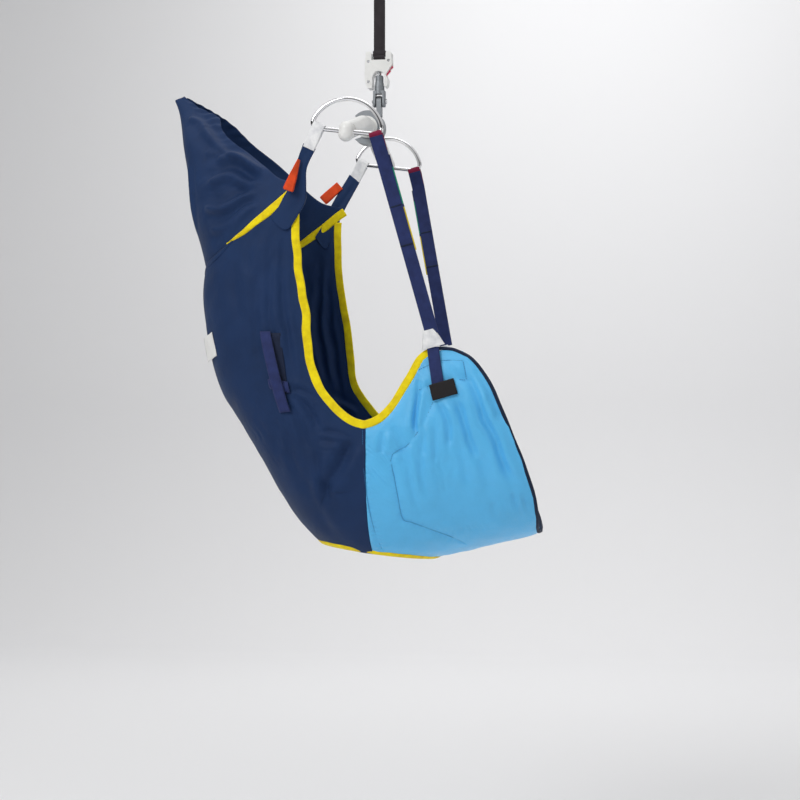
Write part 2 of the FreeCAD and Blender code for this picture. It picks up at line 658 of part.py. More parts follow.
def locate(x, z, sign, guess=(0.5, 0.8)):
    """The surface coordinates (along, across) of a point given on the near wall, or its far twin."""
    v, w = guess
    step = 1e-4
    for _ in range(30):
        here = sling_point(BODY_STATIONS, v, -w)
        dv = (sling_point(BODY_STATIONS, v + step, -w) - here) / step
        dw = (sling_point(BODY_STATIONS, v, -w - step) - here) / step
        det = dv.x * dw.z - dw.x * dv.z
        gap_x = x - here.x
        gap_z = z - here.z
        v += 0.7 * (gap_x * dw.z - dw.x * gap_z) / det
        w += 0.7 * (dv.x * gap_z - gap_x * dv.z) / det
        v = min(max(v, 0.01), 0.99)
        w = min(max(w, 0.2), 1.0)
    return v, sign * w


def stitched(corners, sign, gap, thick, guess, rise=0.0, counts=(9, 5)):
    """A flat piece sewn on a side wall: corners (x, z) run top left, top right, low left, low right."""
    def point_at(i, j, offset):
        top = [corners[0][k] * (1 - j) + corners[1][k] * j for k in (0, 1)]
        low = [corners[2][k] * (1 - j) + corners[3][k] * j for k in (0, 1)]
        x, z = (top[k] * (1 - i) + low[k] * i for k in (0, 1))
        v, w = locate(x, z, sign, guess)
        lift = offset + rise * math.sin(math.pi * i)
        return sling_point(BODY_STATIONS, v, w) + sling_normal(BODY_STATIONS, v, w) * lift
    return between(point_at, gap, gap + thick, counts)


def below_opening(lift):
    """The space below the commode opening's slanting plane, raised by lift."""
    rear = Vector(size("opening_rear_x"), 0, -size("opening_rear_depth"))
    front = Vector(size("opening_front_x"), 0, -size("opening_front_depth"))
    slope = math.degrees(math.atan2(rear.z - front.z, front.x - rear.x))
    slab = Part.makeBox(400, 440, 120, Vector(-60, -220, -120 + lift))
    return slab.transformed(Placement(rear, Rotation(Vector(0, 1, 0), slope)).toMatrix())


def make_sling():
    rows = BODY_STATIONS
    cloth = size("cloth_thick") / 2
    pad = size("pad_thick") / 2
    tape = size("edge_tape_thick") / 2
    gap = size("seam_gap")
    thin = gap / size("body_length")
    opening = below_opening(size("aperture_tape_width"))

    back = patch(rows, (NECK_SEAM + thin, PANEL_SEAM - thin), (-SIDE_SEAM, SIDE_SEAM), -cloth, cloth,
                 (33, 31))
    shaped("back_panel", back.cut(opening))
    leg = patch(rows, (PANEL_SEAM + thin, KNEE_SEAM), (-SIDE_SEAM, SIDE_SEAM), -pad, pad, (17, 31))
    shaped("leg_panel", leg.cut(opening))
    shaped("neck_band", patch(rows, (0.001, NECK_SEAM - thin), (-BAND_END, BAND_END), -tape, tape, (4, 21)))
    shaped("knee_binding", patch(rows, (KNEE_SEAM + thin * 2, 1), (-1, 1), -pad, pad, (4, 41)))

    seat = patch(rows, (0.5, 0.8), (-0.6, 0.6), -tape, tape, (21, 41))
    rim = seat.common(below_opening(size("aperture_tape_width") - gap)).cut(below_opening(0))
    shaped("aperture_binding", rim)

    for name, sign in (("near", -1), ("far", 1)):
        def span(low, high):
            return (low * sign, high * sign) if sign > 0 else (-high, -low)
        shaped(name + "_shoulder_binding", patch(rows, (0.001, NECK_SEAM - thin), span(BINDING_START, 1),
                                                 -tape, tape, (4, 17)))
        shaped(name + "_front_binding", patch(rows, (NECK_SEAM + thin, KNEE_SEAM - thin),
                                              span(SIDE_SEAM + SIDE_GAP, 1), -tape, tape, (41, 4)))

    hood = patch(HOOD_STATIONS, (0.004, 1), (-1, 1), -cloth, cloth, (21, 31))
    shaped("hood_panel", hood)


# ---------------------------------------------------------------- straps
def strap_frame(top, low):
    """A place whose Z runs up a strap, whose X is the strap's width and whose Y faces across the sling."""
    up = (top - low).normalize()
    wide = Vector(0, 1, 0).cross(up).normalize()
    out = up.cross(wide)
    return Placement(low, Rotation(wide, out, up, "ZXY"))


def flat_strap(top, low, width, thick, shift=0.0):
    """A straight webbing strap between two points, moved sideways out of its own plane by shift."""
    at = strap_frame(top, low)
    box = Part.makeBox(width, thick, (top - low).Length, Vector(-width / 2, shift - thick / 2, 0))
    return box.transformed(at.toMatrix())


def ring_loop(top, low, width, thick, hoop):
    """Webbing folded over a ring's rod at top and closing to two plies at low."""
    length = (top - low).Length
    big = size("ring_rod_radius") + 0.3 + thick
    lean = math.asin((big - thick) / length)
    side = Vector(0, big * math.cos(lean), length + big * math.sin(lean))
    foot = Vector(0, thick, 0)

    def mirror(point):
        return Vector(0, -point.y, point.z)

    outline = Part.Wire([Part.Arc(side, Vector(0, 0, length + big), mirror(side)).toShape(),
                         Part.LineSegment(mirror(side), mirror(foot)).toShape(),
                         Part.LineSegment(mirror(foot), foot).toShape(),
                         Part.LineSegment(foot, side).toShape()])
    web = Part.Face(outline).extrude(Vector(width, 0, 0))
    web.translate(Vector(-width / 2, 0, 0))
    return web.transformed(strap_frame(top, low).toMatrix()).cut(hoop)


# Strap routes on the near side, as (x, z); the far side mirrors them.
SHOULDER_HOOK = (-80, -404)
SHOULDER_JOIN = (-100, -444)
SHOULDER_FOOT = (-127, -548)
# The spare loops as (x, y, z): both hang on the side of their strap that faces the near edge.
SPARE_LOOP = {"near": ((-127, -224, -470), (-146, -222, -522)),
              "far": ((-122, 214.5, -462), (-154, 210, -498))}
LEG_HOOK = (36, -424)
LEG_JOIN = (45, -458)
LEG_FOOT = (141, -812)
TAIL = [(130, -850), (154, -850), (143, -926), (167, -922)]
PATCH = [(137, -924), (186, -910), (145, -955), (195, -941)]
HANDLE = [(-203, -814), (-183, -814), (-163, -976), (-141, -974)]


def make_straps():
    thick = size("strap_thick")
    shift = {"near": 0, "far": size("far_shift")}
    span = size("beam_half_span")
    for name, sign in (("near", -1), ("far", 1)):
        hoop = tube(ring_route(), size("ring_rod_radius") + 0.3)
        tilt = Rotation(Vector(0, 1, 0), size("ring_tilt"))
        hoop = hoop.transformed(Placement(beam_end(sign), tilt).toMatrix())

        def spot(place, y):
            return Vector(place[0], sign * y, place[1])

        hook = spot(SHOULDER_HOOK, span)
        join = spot(SHOULDER_JOIN, span - 3)
        shaped(name + "_shoulder_loop", ring_loop(hook, join, size("loop_width"), 2, hoop))
        foot = spot(SHOULDER_FOOT, size("strap_spread"))
        lead = (foot - join).normalize() * size("shoulder_lead")
        shaped(name + "_shoulder_strap", flat_strap(join + lead, foot, size("strap_width"), thick + 1))
        top, low = (Vector(*place) for place in SPARE_LOOP[name])
        shaped(name + "_spare_loop", flat_strap(top, low, size("spare_width"), thick))

        hook = spot(LEG_HOOK, span)
        join = spot(LEG_JOIN, span - 4)
        shaped(name + "_leg_loop", ring_loop(hook, join, size("strap_width"), 2, hoop))
        foot = spot((LEG_FOOT[0] + shift[name], LEG_FOOT[1]), size("leg_spread"))
        run = (foot - join).normalize()
        lead = run * size("seam_gap") * 2.5
        low = foot - run * size("lengths_stop")
        shaped(name + "_leg_strap", flat_strap(join + lead, foot, size("strap_width"), 2, -1.2))
        shaped(name + "_leg_lengths", flat_strap(join + lead, low, size("strap_width"), 2, 1.2))
        band_low = spot((147 + shift[name], -845), 172)
        band_top = spot((141 + shift[name], -813), 174)
        shaped(name + "_leg_sleeve", flat_strap(band_top, band_low, 50, thick + 2))

        leg = (0.9, 0.9)
        outer = size("pad_thick") / 2 + 0.4
        shaped(name + "_leg_tail", stitched(TAIL, sign, outer, 1.8, leg))
        shaped(name + "_leg_patch", stitched(PATCH, sign, outer + 2.2, size("patch_thick"), leg))
        cloth = size("cloth_thick") / 2
        shaped(name + "_handle", stitched(HANDLE, sign, cloth + 0.4, 2, (0.25, 0.6), size("handle_rise"),
                                          (15, 5)))

    cloth = size("cloth_thick") / 2
    shaped("care_label", patch(BODY_STATIONS, (0.157, 0.203), (-0.42, -0.26), cloth + 0.4, cloth + 1.2,
                               (5, 5)))
    stay = size("stay_thick")
    shaped("hood_stay", patch(HOOD_STATIONS, (0.06, 0.93), (-0.03, 0.03), cloth + 0.4,
                              cloth + 0.4 + stay, (15, 5)))
    shaped("hood_stay_channel", patch(HOOD_STATIONS, (0.04, 0.95), (-0.05, 0.05), cloth + 0.8 + stay,
                                      cloth + 1.8 + stay, (15, 5)))


make_anchor()
make_coupling()
node(make_swivel())
make_claw()
make_beam()
make_rings()
make_sling()
make_straps()

# ---------------------------------------------------------------- check and write
doc.recompute()
for item in doc.Objects:
    if {"Invalid", "Error"} & set(item.State):
        raise RuntimeError("%s is %s" % (item.Name, item.State))
for item in NODES:
    if item.Shape.isNull() or not item.Shape.isValid():
        raise RuntimeError("%s has no valid shape" % item.Name)
    item.Shape.exportStep("parts/%s.step" % item.Label)
    print("%-26s %9.0f mm3  solids %d" % (item.Label, item.Shape.Volume, len(item.Shape.Solids)))
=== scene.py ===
import json
import math

import bmesh
import bpy
import numpy as np
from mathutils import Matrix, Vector


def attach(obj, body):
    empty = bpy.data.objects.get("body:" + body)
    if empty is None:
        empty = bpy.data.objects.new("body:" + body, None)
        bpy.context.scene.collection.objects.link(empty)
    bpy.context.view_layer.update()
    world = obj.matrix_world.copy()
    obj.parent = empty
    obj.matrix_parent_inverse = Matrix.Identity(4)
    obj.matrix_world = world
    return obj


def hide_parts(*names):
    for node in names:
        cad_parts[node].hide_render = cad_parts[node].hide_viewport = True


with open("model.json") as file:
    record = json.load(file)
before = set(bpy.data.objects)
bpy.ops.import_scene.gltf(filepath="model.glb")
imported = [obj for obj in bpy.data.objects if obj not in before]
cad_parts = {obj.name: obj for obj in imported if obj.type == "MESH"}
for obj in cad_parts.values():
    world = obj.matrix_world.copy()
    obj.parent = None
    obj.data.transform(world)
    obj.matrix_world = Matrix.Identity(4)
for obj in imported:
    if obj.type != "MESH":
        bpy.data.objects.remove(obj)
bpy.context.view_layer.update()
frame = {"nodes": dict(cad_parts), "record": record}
NODES = frame["nodes"]
MM = 0.001
SIDES = (("near", -1), ("far", 1))
RIDE_ON = "spreader"

# ---------------------------------------------------------------- camera
VIEW_TURN = math.radians(10.2)
VIEW_PITCH = math.radians(2.2)
CAMERA_PLACE = (0.7284, -3.8030, -1.0927)
LENS_MM = 83.0


def make_camera():
    """The photograph's viewpoint, solved from the object's known sizes."""
    data = bpy.data.cameras.new("camera")
    data.lens = LENS_MM
    data.clip_end = 50
    camera = bpy.data.objects.new("camera", data)
    camera.location = CAMERA_PLACE
    camera.rotation_euler = (math.pi / 2 + VIEW_PITCH, 0, VIEW_TURN)
    bpy.context.scene.collection.objects.link(camera)
    bpy.context.scene.camera = camera


make_camera()

# ---------------------------------------------------------------- sizes shared with the frame, in metres
RING_ROD = 4.5 * MM
ANCHOR_PIN_Z = -50 * MM
TAPE_PIN_Z = -219 * MM
CLOTH_THICK = 1.8 * MM
NECK = 0.018
KNEE = 0.996
SEAM = 12 / 18
FRONT_START = 0.78
SIDE = 0.974
OPENING_REAR = Vector((-98 * MM, 0, -1247 * MM))
OPENING_FRONT = Vector((107 * MM, 0, -1276 * MM))


# ---------------------------------------------------------------- sling surface
# Each station is one U-shaped section of the hammock: middle x, z, edge x, y, z, reach, belly, bow,
# and the far edge's extra x and z. Lengths are millimetres here.
BODY_STATIONS = [
    (-364, -670, -122, 203, -508, 0.66, 1.02, 10, 0, 0),
    (-369, -722, -127, 203, -600, 0.66, 1.03, 4, 0, 0),
    (-364, -775, -121, 203, -673, 0.68, 1.04, 0, 0, 0),
    (-354, -830, -112, 204, -735, 0.70, 1.05, 0, 0, 0),
    (-340, -890, -101, 205, -790, 0.70, 1.06, 0, 0, 0),
    (-319, -943, -98, 205, -843, 0.70, 1.06, 0, 0, 0),
    (-286, -992, -92, 205, -887, 0.70, 1.07, 0, 0, 0),
    (-246, -1058, -73, 205, -927, 0.68, 1.08, 0, 0, 0),
    (-203, -1132, -50, 205, -957, 0.66, 1.10, 0, 0, 0),
    (-157, -1200, -28, 205, -978, 0.62, 1.13, 0, 0, 0),
    (-104, -1252, -12, 205, -988, 0.56, 1.16, 0, -2, 0),
    (-47, -1286, 0, 204, -992, 0.52, 1.18, 0, -4, 0),
    (12, -1300, 12, 203, -993, 0.50, 1.20, 0, -8, 0),
    (66, -1291, 36, 198, -981, 0.54, 1.24, 0, -12, 0),
    (115, -1274, 61, 190, -953, 0.62, 1.30, 0, -16, 0),
    (172, -1258, 88, 180, -905, 0.70, 1.36, 4, -20, 0),
    (222, -1245, 112, 172, -864, 0.76, 1.40, 12, -23, 0),
    (280, -1232, 142, 168, -846, 0.80, 1.41, 26, -27, 0),
    (342, -1217, 195, 168, -848, 0.82, 1.38, 40, -34, 0),
]
HOOD_STATIONS = [
    (-364, -670, -122, 203, -508, 0.66, 1.02, 10, 0, 0),
    (-380, -600, -166, 188, -502, 0.70, 1.00, 8, -2, 6),
    (-397, -530, -208, 162, -470, 0.72, 0.98, 8, -4, 12),
    (-408, -470, -250, 136, -436, 0.74, 0.97, 2, -6, 20),
    (-419, -405, -296, 108, -402, 0.74, 0.95, 0, -8, 26),
    (-428, -360, -333, 76, -364, 0.72, 0.92, 0, -8, 26),
    (-437, -322, -376, 40, -326, 0.70, 0.90, 0, -6, 16),
    (-447, -296, -424, 10, -290, 0.66, 0.90, 0, 0, 2),
]
STATION_UNITS = np.array([MM, MM, MM, MM, MM, 1, 1, MM, MM, MM])
BODY = np.array(BODY_STATIONS) * STATION_UNITS
HOOD = np.array(HOOD_STATIONS) * STATION_UNITS


def catmull_rom(rows, at, straight_ends):
    """Smooth values at fractional row numbers; with straight_ends the first and last runs go on straight."""
    last = len(rows) - 1
    index = np.minimum(at.astype(int), last - 1)
    step = (at - index)[..., None]
    start = rows[index]
    end = rows[index + 1]
    before = rows[np.maximum(index - 1, 0)]
    after = rows[np.minimum(index + 2, last)]
    if straight_ends:
        before = np.where((index > 0)[..., None], before, 2 * start - end)
        after = np.where((index < last - 1)[..., None], after, 2 * end - start)
    slope_in = (end - before) / 2
    slope_out = (after - start) / 2
    rise = end - start
    return (start + slope_in * step + (3 * rise - 2 * slope_in - slope_out) * step ** 2
            + (slope_in + slope_out - 2 * rise) * step ** 3)


def sling(rows, along, across):
    """Points of the cloth: along 0..1 over the stations, across -1..1 from near edge to far edge."""
    along, across = np.broadcast_arrays(np.asarray(along, float), np.asarray(across, float))
    row = catmull_rom(rows, np.clip(along, 0, 1) * (len(rows) - 1), True)
    mid_x, mid_z, edge_x, half, edge_z, reach, belly, bow, far_x, far_z = np.moveaxis(row, -1, 0)
    part = np.abs(across)
    far = across > 0
    edge_x = edge_x + far * far_x
    edge_z = edge_z + far * far_z
    rest = 1 - part
    climb = 0.66 * rest * part ** 2 + part ** 3
    wide = half * (3 * rest ** 2 * part * reach + 3 * rest * part ** 2 * belly + part ** 3)
    chord_x = edge_x - mid_x
    chord_z = edge_z - mid_z
    length = np.hypot(chord_x, chord_z)
    level = (1 - 2 * climb) ** 2
    front = np.clip((along - FRONT_START) / (1 - FRONT_START), 0, 1) ** 2
    lean = (0.8 - 1.4 * along) * (1 - 2 * climb) * (1 - front)
    push = (1 - level) * (1 + front * level) * (1 + lean) * (1 - far * front) * bow / length
    x = mid_x + chord_x * climb + chord_z * push
    z = mid_z + chord_z * climb - chord_x * push
    return np.stack([x, np.copysign(wide, across), z], axis=-1)


def outward(rows, along, across):
    """Unit normals of the cloth, pointing out of the hammock."""
    step = 0.004
    first = (sling(rows, np.minimum(along + step, 1), across)
             - sling(rows, np.maximum(along - step, 0), across))
    low = np.where(across < 0, across - step, np.maximum(across - step, 1e-9))
    high = np.where(across < 0, np.minimum(across + step, -1e-9), across + step)
    side = sling(rows, along, high) - sling(rows, along, low)
    normal = np.cross(side, first)
    return normal / np.linalg.norm(normal, axis=-1, keepdims=True)


def above_opening(points):
    """Height of points above the commode opening's slanting plane."""
    run = OPENING_FRONT - OPENING_REAR
    slope = run.z / run.x
    rise = points[..., 2] - OPENING_REAR.z - slope * (points[..., 0] - OPENING_REAR.x)
    return rise * math.cos(math.atan(slope))


def opening_edge(along, sign, lift=0.0):
    """How far across the cloth the commode opening reaches at each place along it."""
    low = np.zeros_like(along)
    high = np.full_like(along, 0.9)
    open_here = above_opening(sling(BODY, along, sign * 1e-6)) < lift
    for _ in range(40):
        middle = (low + high) / 2
        under = above_opening(sling(BODY, along, sign * middle)) < lift
        low = np.where(under, middle, low)
        high = np.where(under, high, middle)
    return np.where(open_here, high, 0.0)


def locate(x, z, sign, start=(0.5, 0.8)):
    """The surface coordinates (along, across) of a place given as near-wall x and z in millimetres."""
    v, w = start
    step = 1e-4
    for _ in range(40):
        here = sling(BODY, v, -w)
        dv = (sling(BODY, v + step, -w) - here) / step
        dw = (sling(BODY, v, -w - step) - here) / step
        det = dv[0] * dw[2] - dw[0] * dv[2]
        gap_x = x * MM - here[0]
        gap_z = z * MM - here[2]
        v += 0.7 * (gap_x * dw[2] - dw[0] * gap_z) / det
        w += 0.7 * (dv[0] * gap_z - gap_x * dv[2]) / det
        v = min(max(v, 0.01), 0.995)
        w = min(max(w, 0.05), 1.0)
    return v, sign * w


# ---------------------------------------------------------------- folds and seams
# Valleys in the cloth, as (x, z) points on the side wall in millimetres, then depth and half width.
NAVY_FOLDS = [
    ([(-152, -600), (-160, -740), (-136, -898)], 3.4, 8),
    ([(-176, -640), (-186, -760), (-158, -900)], 2.6, 9),
    ([(-138, -640), (-128, -780), (-108, -915)], 3.0, 6),
    ([(-206, -660), (-216, -790), (-204, -880)], 2.2, 12),
    ([(-142, -925), (-106, -939), (-80, -956)], 3.6, 6),
    ([(-140, -936), (-94, -984), (-80, -1012)], 3.2, 7),
    ([(-150, -950), (-118, -1010), (-104, -1050)], 2.2, 8),
    ([(-76, -1014), (-46, -1016), (-14, -1028)], 2.8, 5),
    ([(-84, -1030), (-50, -1034), (-22, -1044)], 2.0, 5),
    ([(-154, -1010), (-133, -1100)], 2.2, 8),
    ([(-91, -1044), (-66, -1140)], 2.4, 7),
    ([(-8, -1030), (-46, -1088), (-72, -1134), (-60, -1160)], 6.5, 12),
    ([(-240, -600), (-262, -700), (-250, -800)], 2.4, 16),
    ([(-196, -570), (-226, -640), (-236, -700)], 2.6, 10),
    ([(-120, -1100), (-90, -1180), (-70, -1230)], 2.2, 12),
    ([(-180, -980), (-168, -1060)], 1.8, 10),
]
BLUE_FOLDS = [
    ([(156, -955), (172, -990), (176, -1050)], 3.0, 6),
    ([(188, -948), (210, -1004), (230, -1072)], 4.6, 7),
    ([(204, -884), (232, -947), (258, -1010), (284, -1078), (304, -1120)], 6.0, 8),
    ([(222, -886), (258, -945), (284, -1000)], 5.0, 9),
    ([(169, -868), (210, -919)], 3.0, 6),
    ([(114, -897), (114, -934), (108, -990), (112, -1020)], 4.6, 5),
    ([(46, -1010), (44, -1060)], 2.6, 6),
    ([(60, -1000), (84, -1044), (90, -1090)], 2.0, 8),
    ([(128, -1010), (124, -1090), (132, -1140)], 2.2, 8),
    ([(150, -1000), (150, -1080)], 2.0, 7),
    ([(200, -1040), (214, -1120)], 2.0, 8),
    ([(96, -1070), (104, -1130), (118, -1170)], 1.8, 7),
    ([(236, -1060), (256, -1130)], 1.8, 8),
    ([(300, -1130), (312, -1190)], 2.4, 5),
    ([(322, -1140), (332, -1200)], 2.4, 5),
    ([(262, -1150), (268, -1205)], 1.6, 6),
    ([(188, -1200), (196, -1240)], 2.0, 6),
    ([(214, -1200), (226, -1236)], 1.8, 6),
]
HOOD_FOLDS = [
    ([(-345, -505), (-285, -490), (-246, -504), (-205, -515)], 4.6, 9),
    ([(-345, -550), (-285, -553), (-246, -534), (-214, -522)], 4.8, 9),
    ([(-326, -456), (-271, -446), (-233, -472), (-206, -496)], 3.6, 9),
    ([(-376, -367), (-307, -425), (-256, -455), (-206, -492)], 3.6, 8),
    ([(-330, -598), (-280, -590), (-230, -550)], 3.0, 10),
    ([(-310, -640), (-256, -592), (-214, -546)], 2.6, 9),
    ([(-350, -424), (-322, -432), (-298, -452)], 2.4, 8),
    ([(-404, -340), (-380, -352), (-356, -380)], 2.4, 7),
    ([(-392, -440), (-384, -520), (-374, -610)], 2.0, 5),
]
# Patches of short creases: centre and reach on the side wall, direction, pitch, depth and seed.
NAVY_CREASES = [
    ((-95, -975), (60, 45), (0.85, -0.5), 8.5, 1.8, 31),
    ((-45, -1050), (45, 50), (0.9, -0.1), 10.0, 1.7, 33),
    ((-160, -720), (60, 150), (0.12, -1), 16.0, 1.3, 35),
    ((-190, -1000), (70, 90), (0.5, -1), 18.0, 1.2, 37),
]
BLUE_CREASES = [
    ((36, -1085), (34, 75), (0.72, -0.7), 7.0, 2.0, 61),
    ((328, -1185), (40, 40), (0.1, -1), 8.0, 1.5, 63),
    ((205, -1215), (120, 34), (0.15, -1), 10.0, 1.3, 65),
    ((150, -1060), (80, 90), (0.06, -1), 17.0, 1.6, 67),
    ((240, -1000), (60, 90), (0.35, -1), 15.0, 1.8, 69),
]
HOOD_CREASES = ((-300, -500), (90, 70), (1, 0.12), 15.0, 1.4, 29)
# Sewn lines of the leg panel: the pocket, the two bands under the leg strap and the line beside the seam.
POCKET = [(146, -954), (128, -994), (98, -1040), (64, -1063), (70, -1109), (76, -1150), (82, -1188),
          (102, -1196), (172, -1225), (204, -1244)]
BAND_TOP = [(112, -893), (140, -880), (165, -873), (203, -874)]
BAND_LOW = [(114, -933), (140, -923), (175, -912), (211, -913)]
BAND_END = [(203, -874), (208, -895), (211, -913)]
SEAM_TOP = [(6, -1010), (7, -1060), (10, -1100), (16, -1160), (24, -1212), (34, -1256)]
FLANK = [(112, -893), (114, -934), (108, -990), (112, -1026)]
LEG_SEAMS = [(POCKET, 1.0), (BAND_TOP, 1.0), (BAND_LOW, 1.0), (BAND_END, 0.8), (SEAM_TOP, 1.0), (FLANK, 0.9)]
FAR_SHIFT = -26
CREASE_FADE = 0.16
FOLD_SCALE = 1.35


def rounded_line(points, count=24):
    """A smooth line through given points, evenly sampled."""
    points = np.array(points, float)
    return catmull_rom(points, np.linspace(0, len(points) - 1, count), False)


def nearness(flat, line):
    """Distance of each flat point from a line, and how far along it (0..1) the nearest place is."""
    best = np.full(flat.shape[:-1], np.inf)
    place = np.zeros(flat.shape[:-1])
    steps = np.linalg.norm(np.diff(line, axis=0), axis=1)
    run = np.concatenate([[0], np.cumsum(steps)]) / steps.sum()
    for index in range(len(line) - 1):
        start = line[index]
        span = line[index + 1] - start
        share = np.clip(((flat - start) @ span) / max(span @ span, 1e-12), 0, 1)
        away = np.linalg.norm(flat - start - share[..., None] * span, axis=-1)
        closer = away < best
        best = np.where(closer, away, best)
        place = np.where(closer, run[index] + share * (run[index + 1] - run[index]), place)
    return best, place, steps.sum()


def wobble(points, size, seed):
    """Smooth irregular values about zero, the same each run, from a few crossed waves."""
    source = np.random.default_rng(seed)
    total = np.zeros(points.shape[:-1])
    waves = 7
    for _ in range(waves):
        direction = source.normal(size=3)
        direction *= source.uniform(0.7, 1.4) / np.linalg.norm(direction)
        total += np.sin(points @ direction * (2 * math.pi / size) + source.uniform(0, 2 * math.pi))
    return total / math.sqrt(waves)


def folded(points, folds, sign, seed):
    """Offset along the cloth's normal that the listed folds give, in metres."""
    flat = points[..., [0, 2]] / MM
    if sign > 0:
        flat = flat + np.array([7.0, 11.0])
    warp = np.stack([wobble(points, 0.09, seed), wobble(points, 0.09, seed + 1)], axis=-1) * 2.0
    total = np.zeros(points.shape[:-1])
    for line, depth, width in folds:
        away, place, _ = nearness(flat + warp, rounded_line(line))
        fade = np.clip(np.minimum(place, 1 - place) / CREASE_FADE, 0, 1)
        fade = fade * fade * (3 - 2 * fade)
        valley = np.exp(-(away / width) ** 2)
        shoulder = np.exp(-((away - 2.1 * width) / (1.3 * width)) ** 2)
        total += depth * (0.5 * shoulder - valley) * (0.15 + 0.85 * fade)
    return total * FOLD_SCALE * MM


def wall_share(across, low=0.3, high=0.5):
    """0 on the bottom of the hammock, 1 on its side walls."""
    share = np.clip((np.abs(across) - low) / (high - low), 0, 1)
    return share * share * (3 - 2 * share)


# ---------------------------------------------------------------- mesh helpers
def new_object(name, points, faces, uvs=None):
    """A smooth-shaded mesh object from points, faces and, where given, one UV per point in metres."""
    mesh = bpy.data.meshes.new(name)
    mesh.from_pydata([tuple(p) for p in points], [], [tuple(f) for f in faces])
    if uvs is not None:
        layer = mesh.uv_layers.new(name="cloth")
        loops = np.zeros(len(mesh.loops), np.int32)
        mesh.loops.foreach_get("vertex_index", loops)
        layer.data.foreach_set("uv", np.asarray(uvs, np.float32)[loops].ravel())
    mesh.polygons.foreach_set("use_smooth", [True] * len(mesh.polygons))
    mesh.validate()
    mesh.update()
    obj = bpy.data.objects.new(name, mesh)
    bpy.context.scene.collection.objects.link(obj)
    return obj


def weld(obj, distance=1e-6):
    """Merge coincident points and turn every face outward."""
    work = bmesh.new()
    work.from_mesh(obj.data)
    bmesh.ops.remove_doubles(work, verts=work.verts, dist=distance)
    bmesh.ops.recalc_face_normals(work, faces=work.faces)
    work.to_mesh(obj.data)
    work.free()
    return obj


def grid_faces(rows, columns, start=0, flip=False):
    """Quads over a grid of points that starts at a given index."""
    faces = []
    for i in range(rows - 1):
        for j in range(columns - 1):
            a = start + i * columns + j
            quad = (a, a + 1, a + columns + 1, a + columns)
            faces.append(quad[::-1] if flip else quad)
    return faces


def arc_uv(points):
    """UVs in metres measured over a grid of points."""
    across = np.linalg.norm(np.diff(points, axis=1), axis=-1)
    along = np.linalg.norm(np.diff(points, axis=0), axis=-1)
    u = np.concatenate([np.zeros((points.shape[0], 1)), np.cumsum(across, axis=1)], axis=1)
    u -= u[:, points.shape[1] // 2][:, None]
    v = np.concatenate([np.zeros((1, points.shape[1])), np.cumsum(along, axis=0)], axis=0)
    return np.stack([u, v], axis=-1)


def two_skins(outer, inner, open_edge=None):
    """A closed shell between two grids of points; open_edge lists rows whose last column needs a rim."""
    rows, columns = outer.shape[:2]
    count = rows * columns
    points = np.concatenate([outer.reshape(-1, 3), inner.reshape(-1, 3)])
    uv = arc_uv(outer).reshape(-1, 2)
    faces = grid_faces(rows, columns) + grid_faces(rows, columns, count, True)
    rim = [(i * columns, (i + 1) * columns) for i in range(rows - 1)]
    for i in range(rows - 1):
        if open_edge is None or open_edge[i] or open_edge[i + 1]:
            rim.append(((i + 1) * columns + columns - 1, i * columns + columns - 1))
    rim += [(j + 1, j) for j in range(columns - 1)]
    low = (rows - 1) * columns
    rim += [(low + j, low + j + 1) for j in range(columns - 1)]
    faces += [(a, b, b + count, a + count) for a, b in rim]
    return points, faces, np.concatenate([uv, uv])


SECTION_STEPS = 5


def band_section(width, thick, crown=0.0):
    """A flat tape's cross-section, as (across, out) points with rounded edges."""
    half = width / 2 - thick / 2
    points = []
    for step in np.linspace(-1, 1, 11):
        points.append((step * half, thick / 2 + crown * (1 - step * step)))
    for angle in np.linspace(math.pi / 2, -math.pi / 2, SECTION_STEPS)[1:-1]:
        points.append((half + thick / 2 * math.cos(angle), thick / 2 * math.sin(angle)))
    for step in np.linspace(1, -1, 11):
        points.append((step * half, -thick / 2 - crown * (1 - step * step)))
    for angle in np.linspace(-math.pi / 2, -3 * math.pi / 2, SECTION_STEPS)[1:-1]:
        points.append((-half + thick / 2 * math.cos(angle), thick / 2 * math.sin(angle)))
    return np.array(points)


def band(name, path, side, width, thick, closed=False, crown=0.0, out=None):
    """Flat webbing swept along a path. side is the width direction, one vector or one per point."""
    path = np.array(path, float)
    count = len(path)
    side = np.broadcast_to(np.array(side, float), path.shape).copy()
    width = np.broadcast_to(np.array(width, float), (count,))
    if closed:
        tangent = np.roll(path, -1, axis=0) - np.roll(path, 1, axis=0)
    else:
        tangent = np.gradient(path, axis=0)
    tangent /= np.linalg.norm(tangent, axis=1, keepdims=True)
    side -= (side * tangent).sum(1, keepdims=True) * tangent
    side /= np.linalg.norm(side, axis=1, keepdims=True)
    if out is None:
        out = np.cross(tangent, side)
    out /= np.linalg.norm(out, axis=1, keepdims=True)
    rings = []
    for index in range(count):
        section = band_section(width[index], thick, crown)
        rings.append(path[index] + section[:, :1] * side[index] + section[:, 1:] * out[index])
    rings = np.array(rings)
    size = rings.shape[1]
    steps = np.linalg.norm(np.diff(path, axis=0), axis=1)
    run = np.concatenate([[0], np.cumsum(steps)])
    section = band_section(width.mean(), thick, crown)
    uv = np.stack(np.broadcast_arrays(section[None, :, 0], run[:, None]), axis=-1).reshape(-1, 2)
    faces = []
    for i in range(count if closed else count - 1):
        for j in range(size):
            a = i * size + j
            b = i * size + (j + 1) % size
            c = ((i + 1) % count) * size
            faces.append((a, c + j, c + (j + 1) % size, b))
    if not closed:
        faces.append(tuple(range(size)))
        faces.append(tuple(range((count - 1) * size + size - 1, (count - 1) * size - 1, -1)))
    obj = new_object(name, rings.reshape(-1, 3), faces, uv)
    return weld(obj)


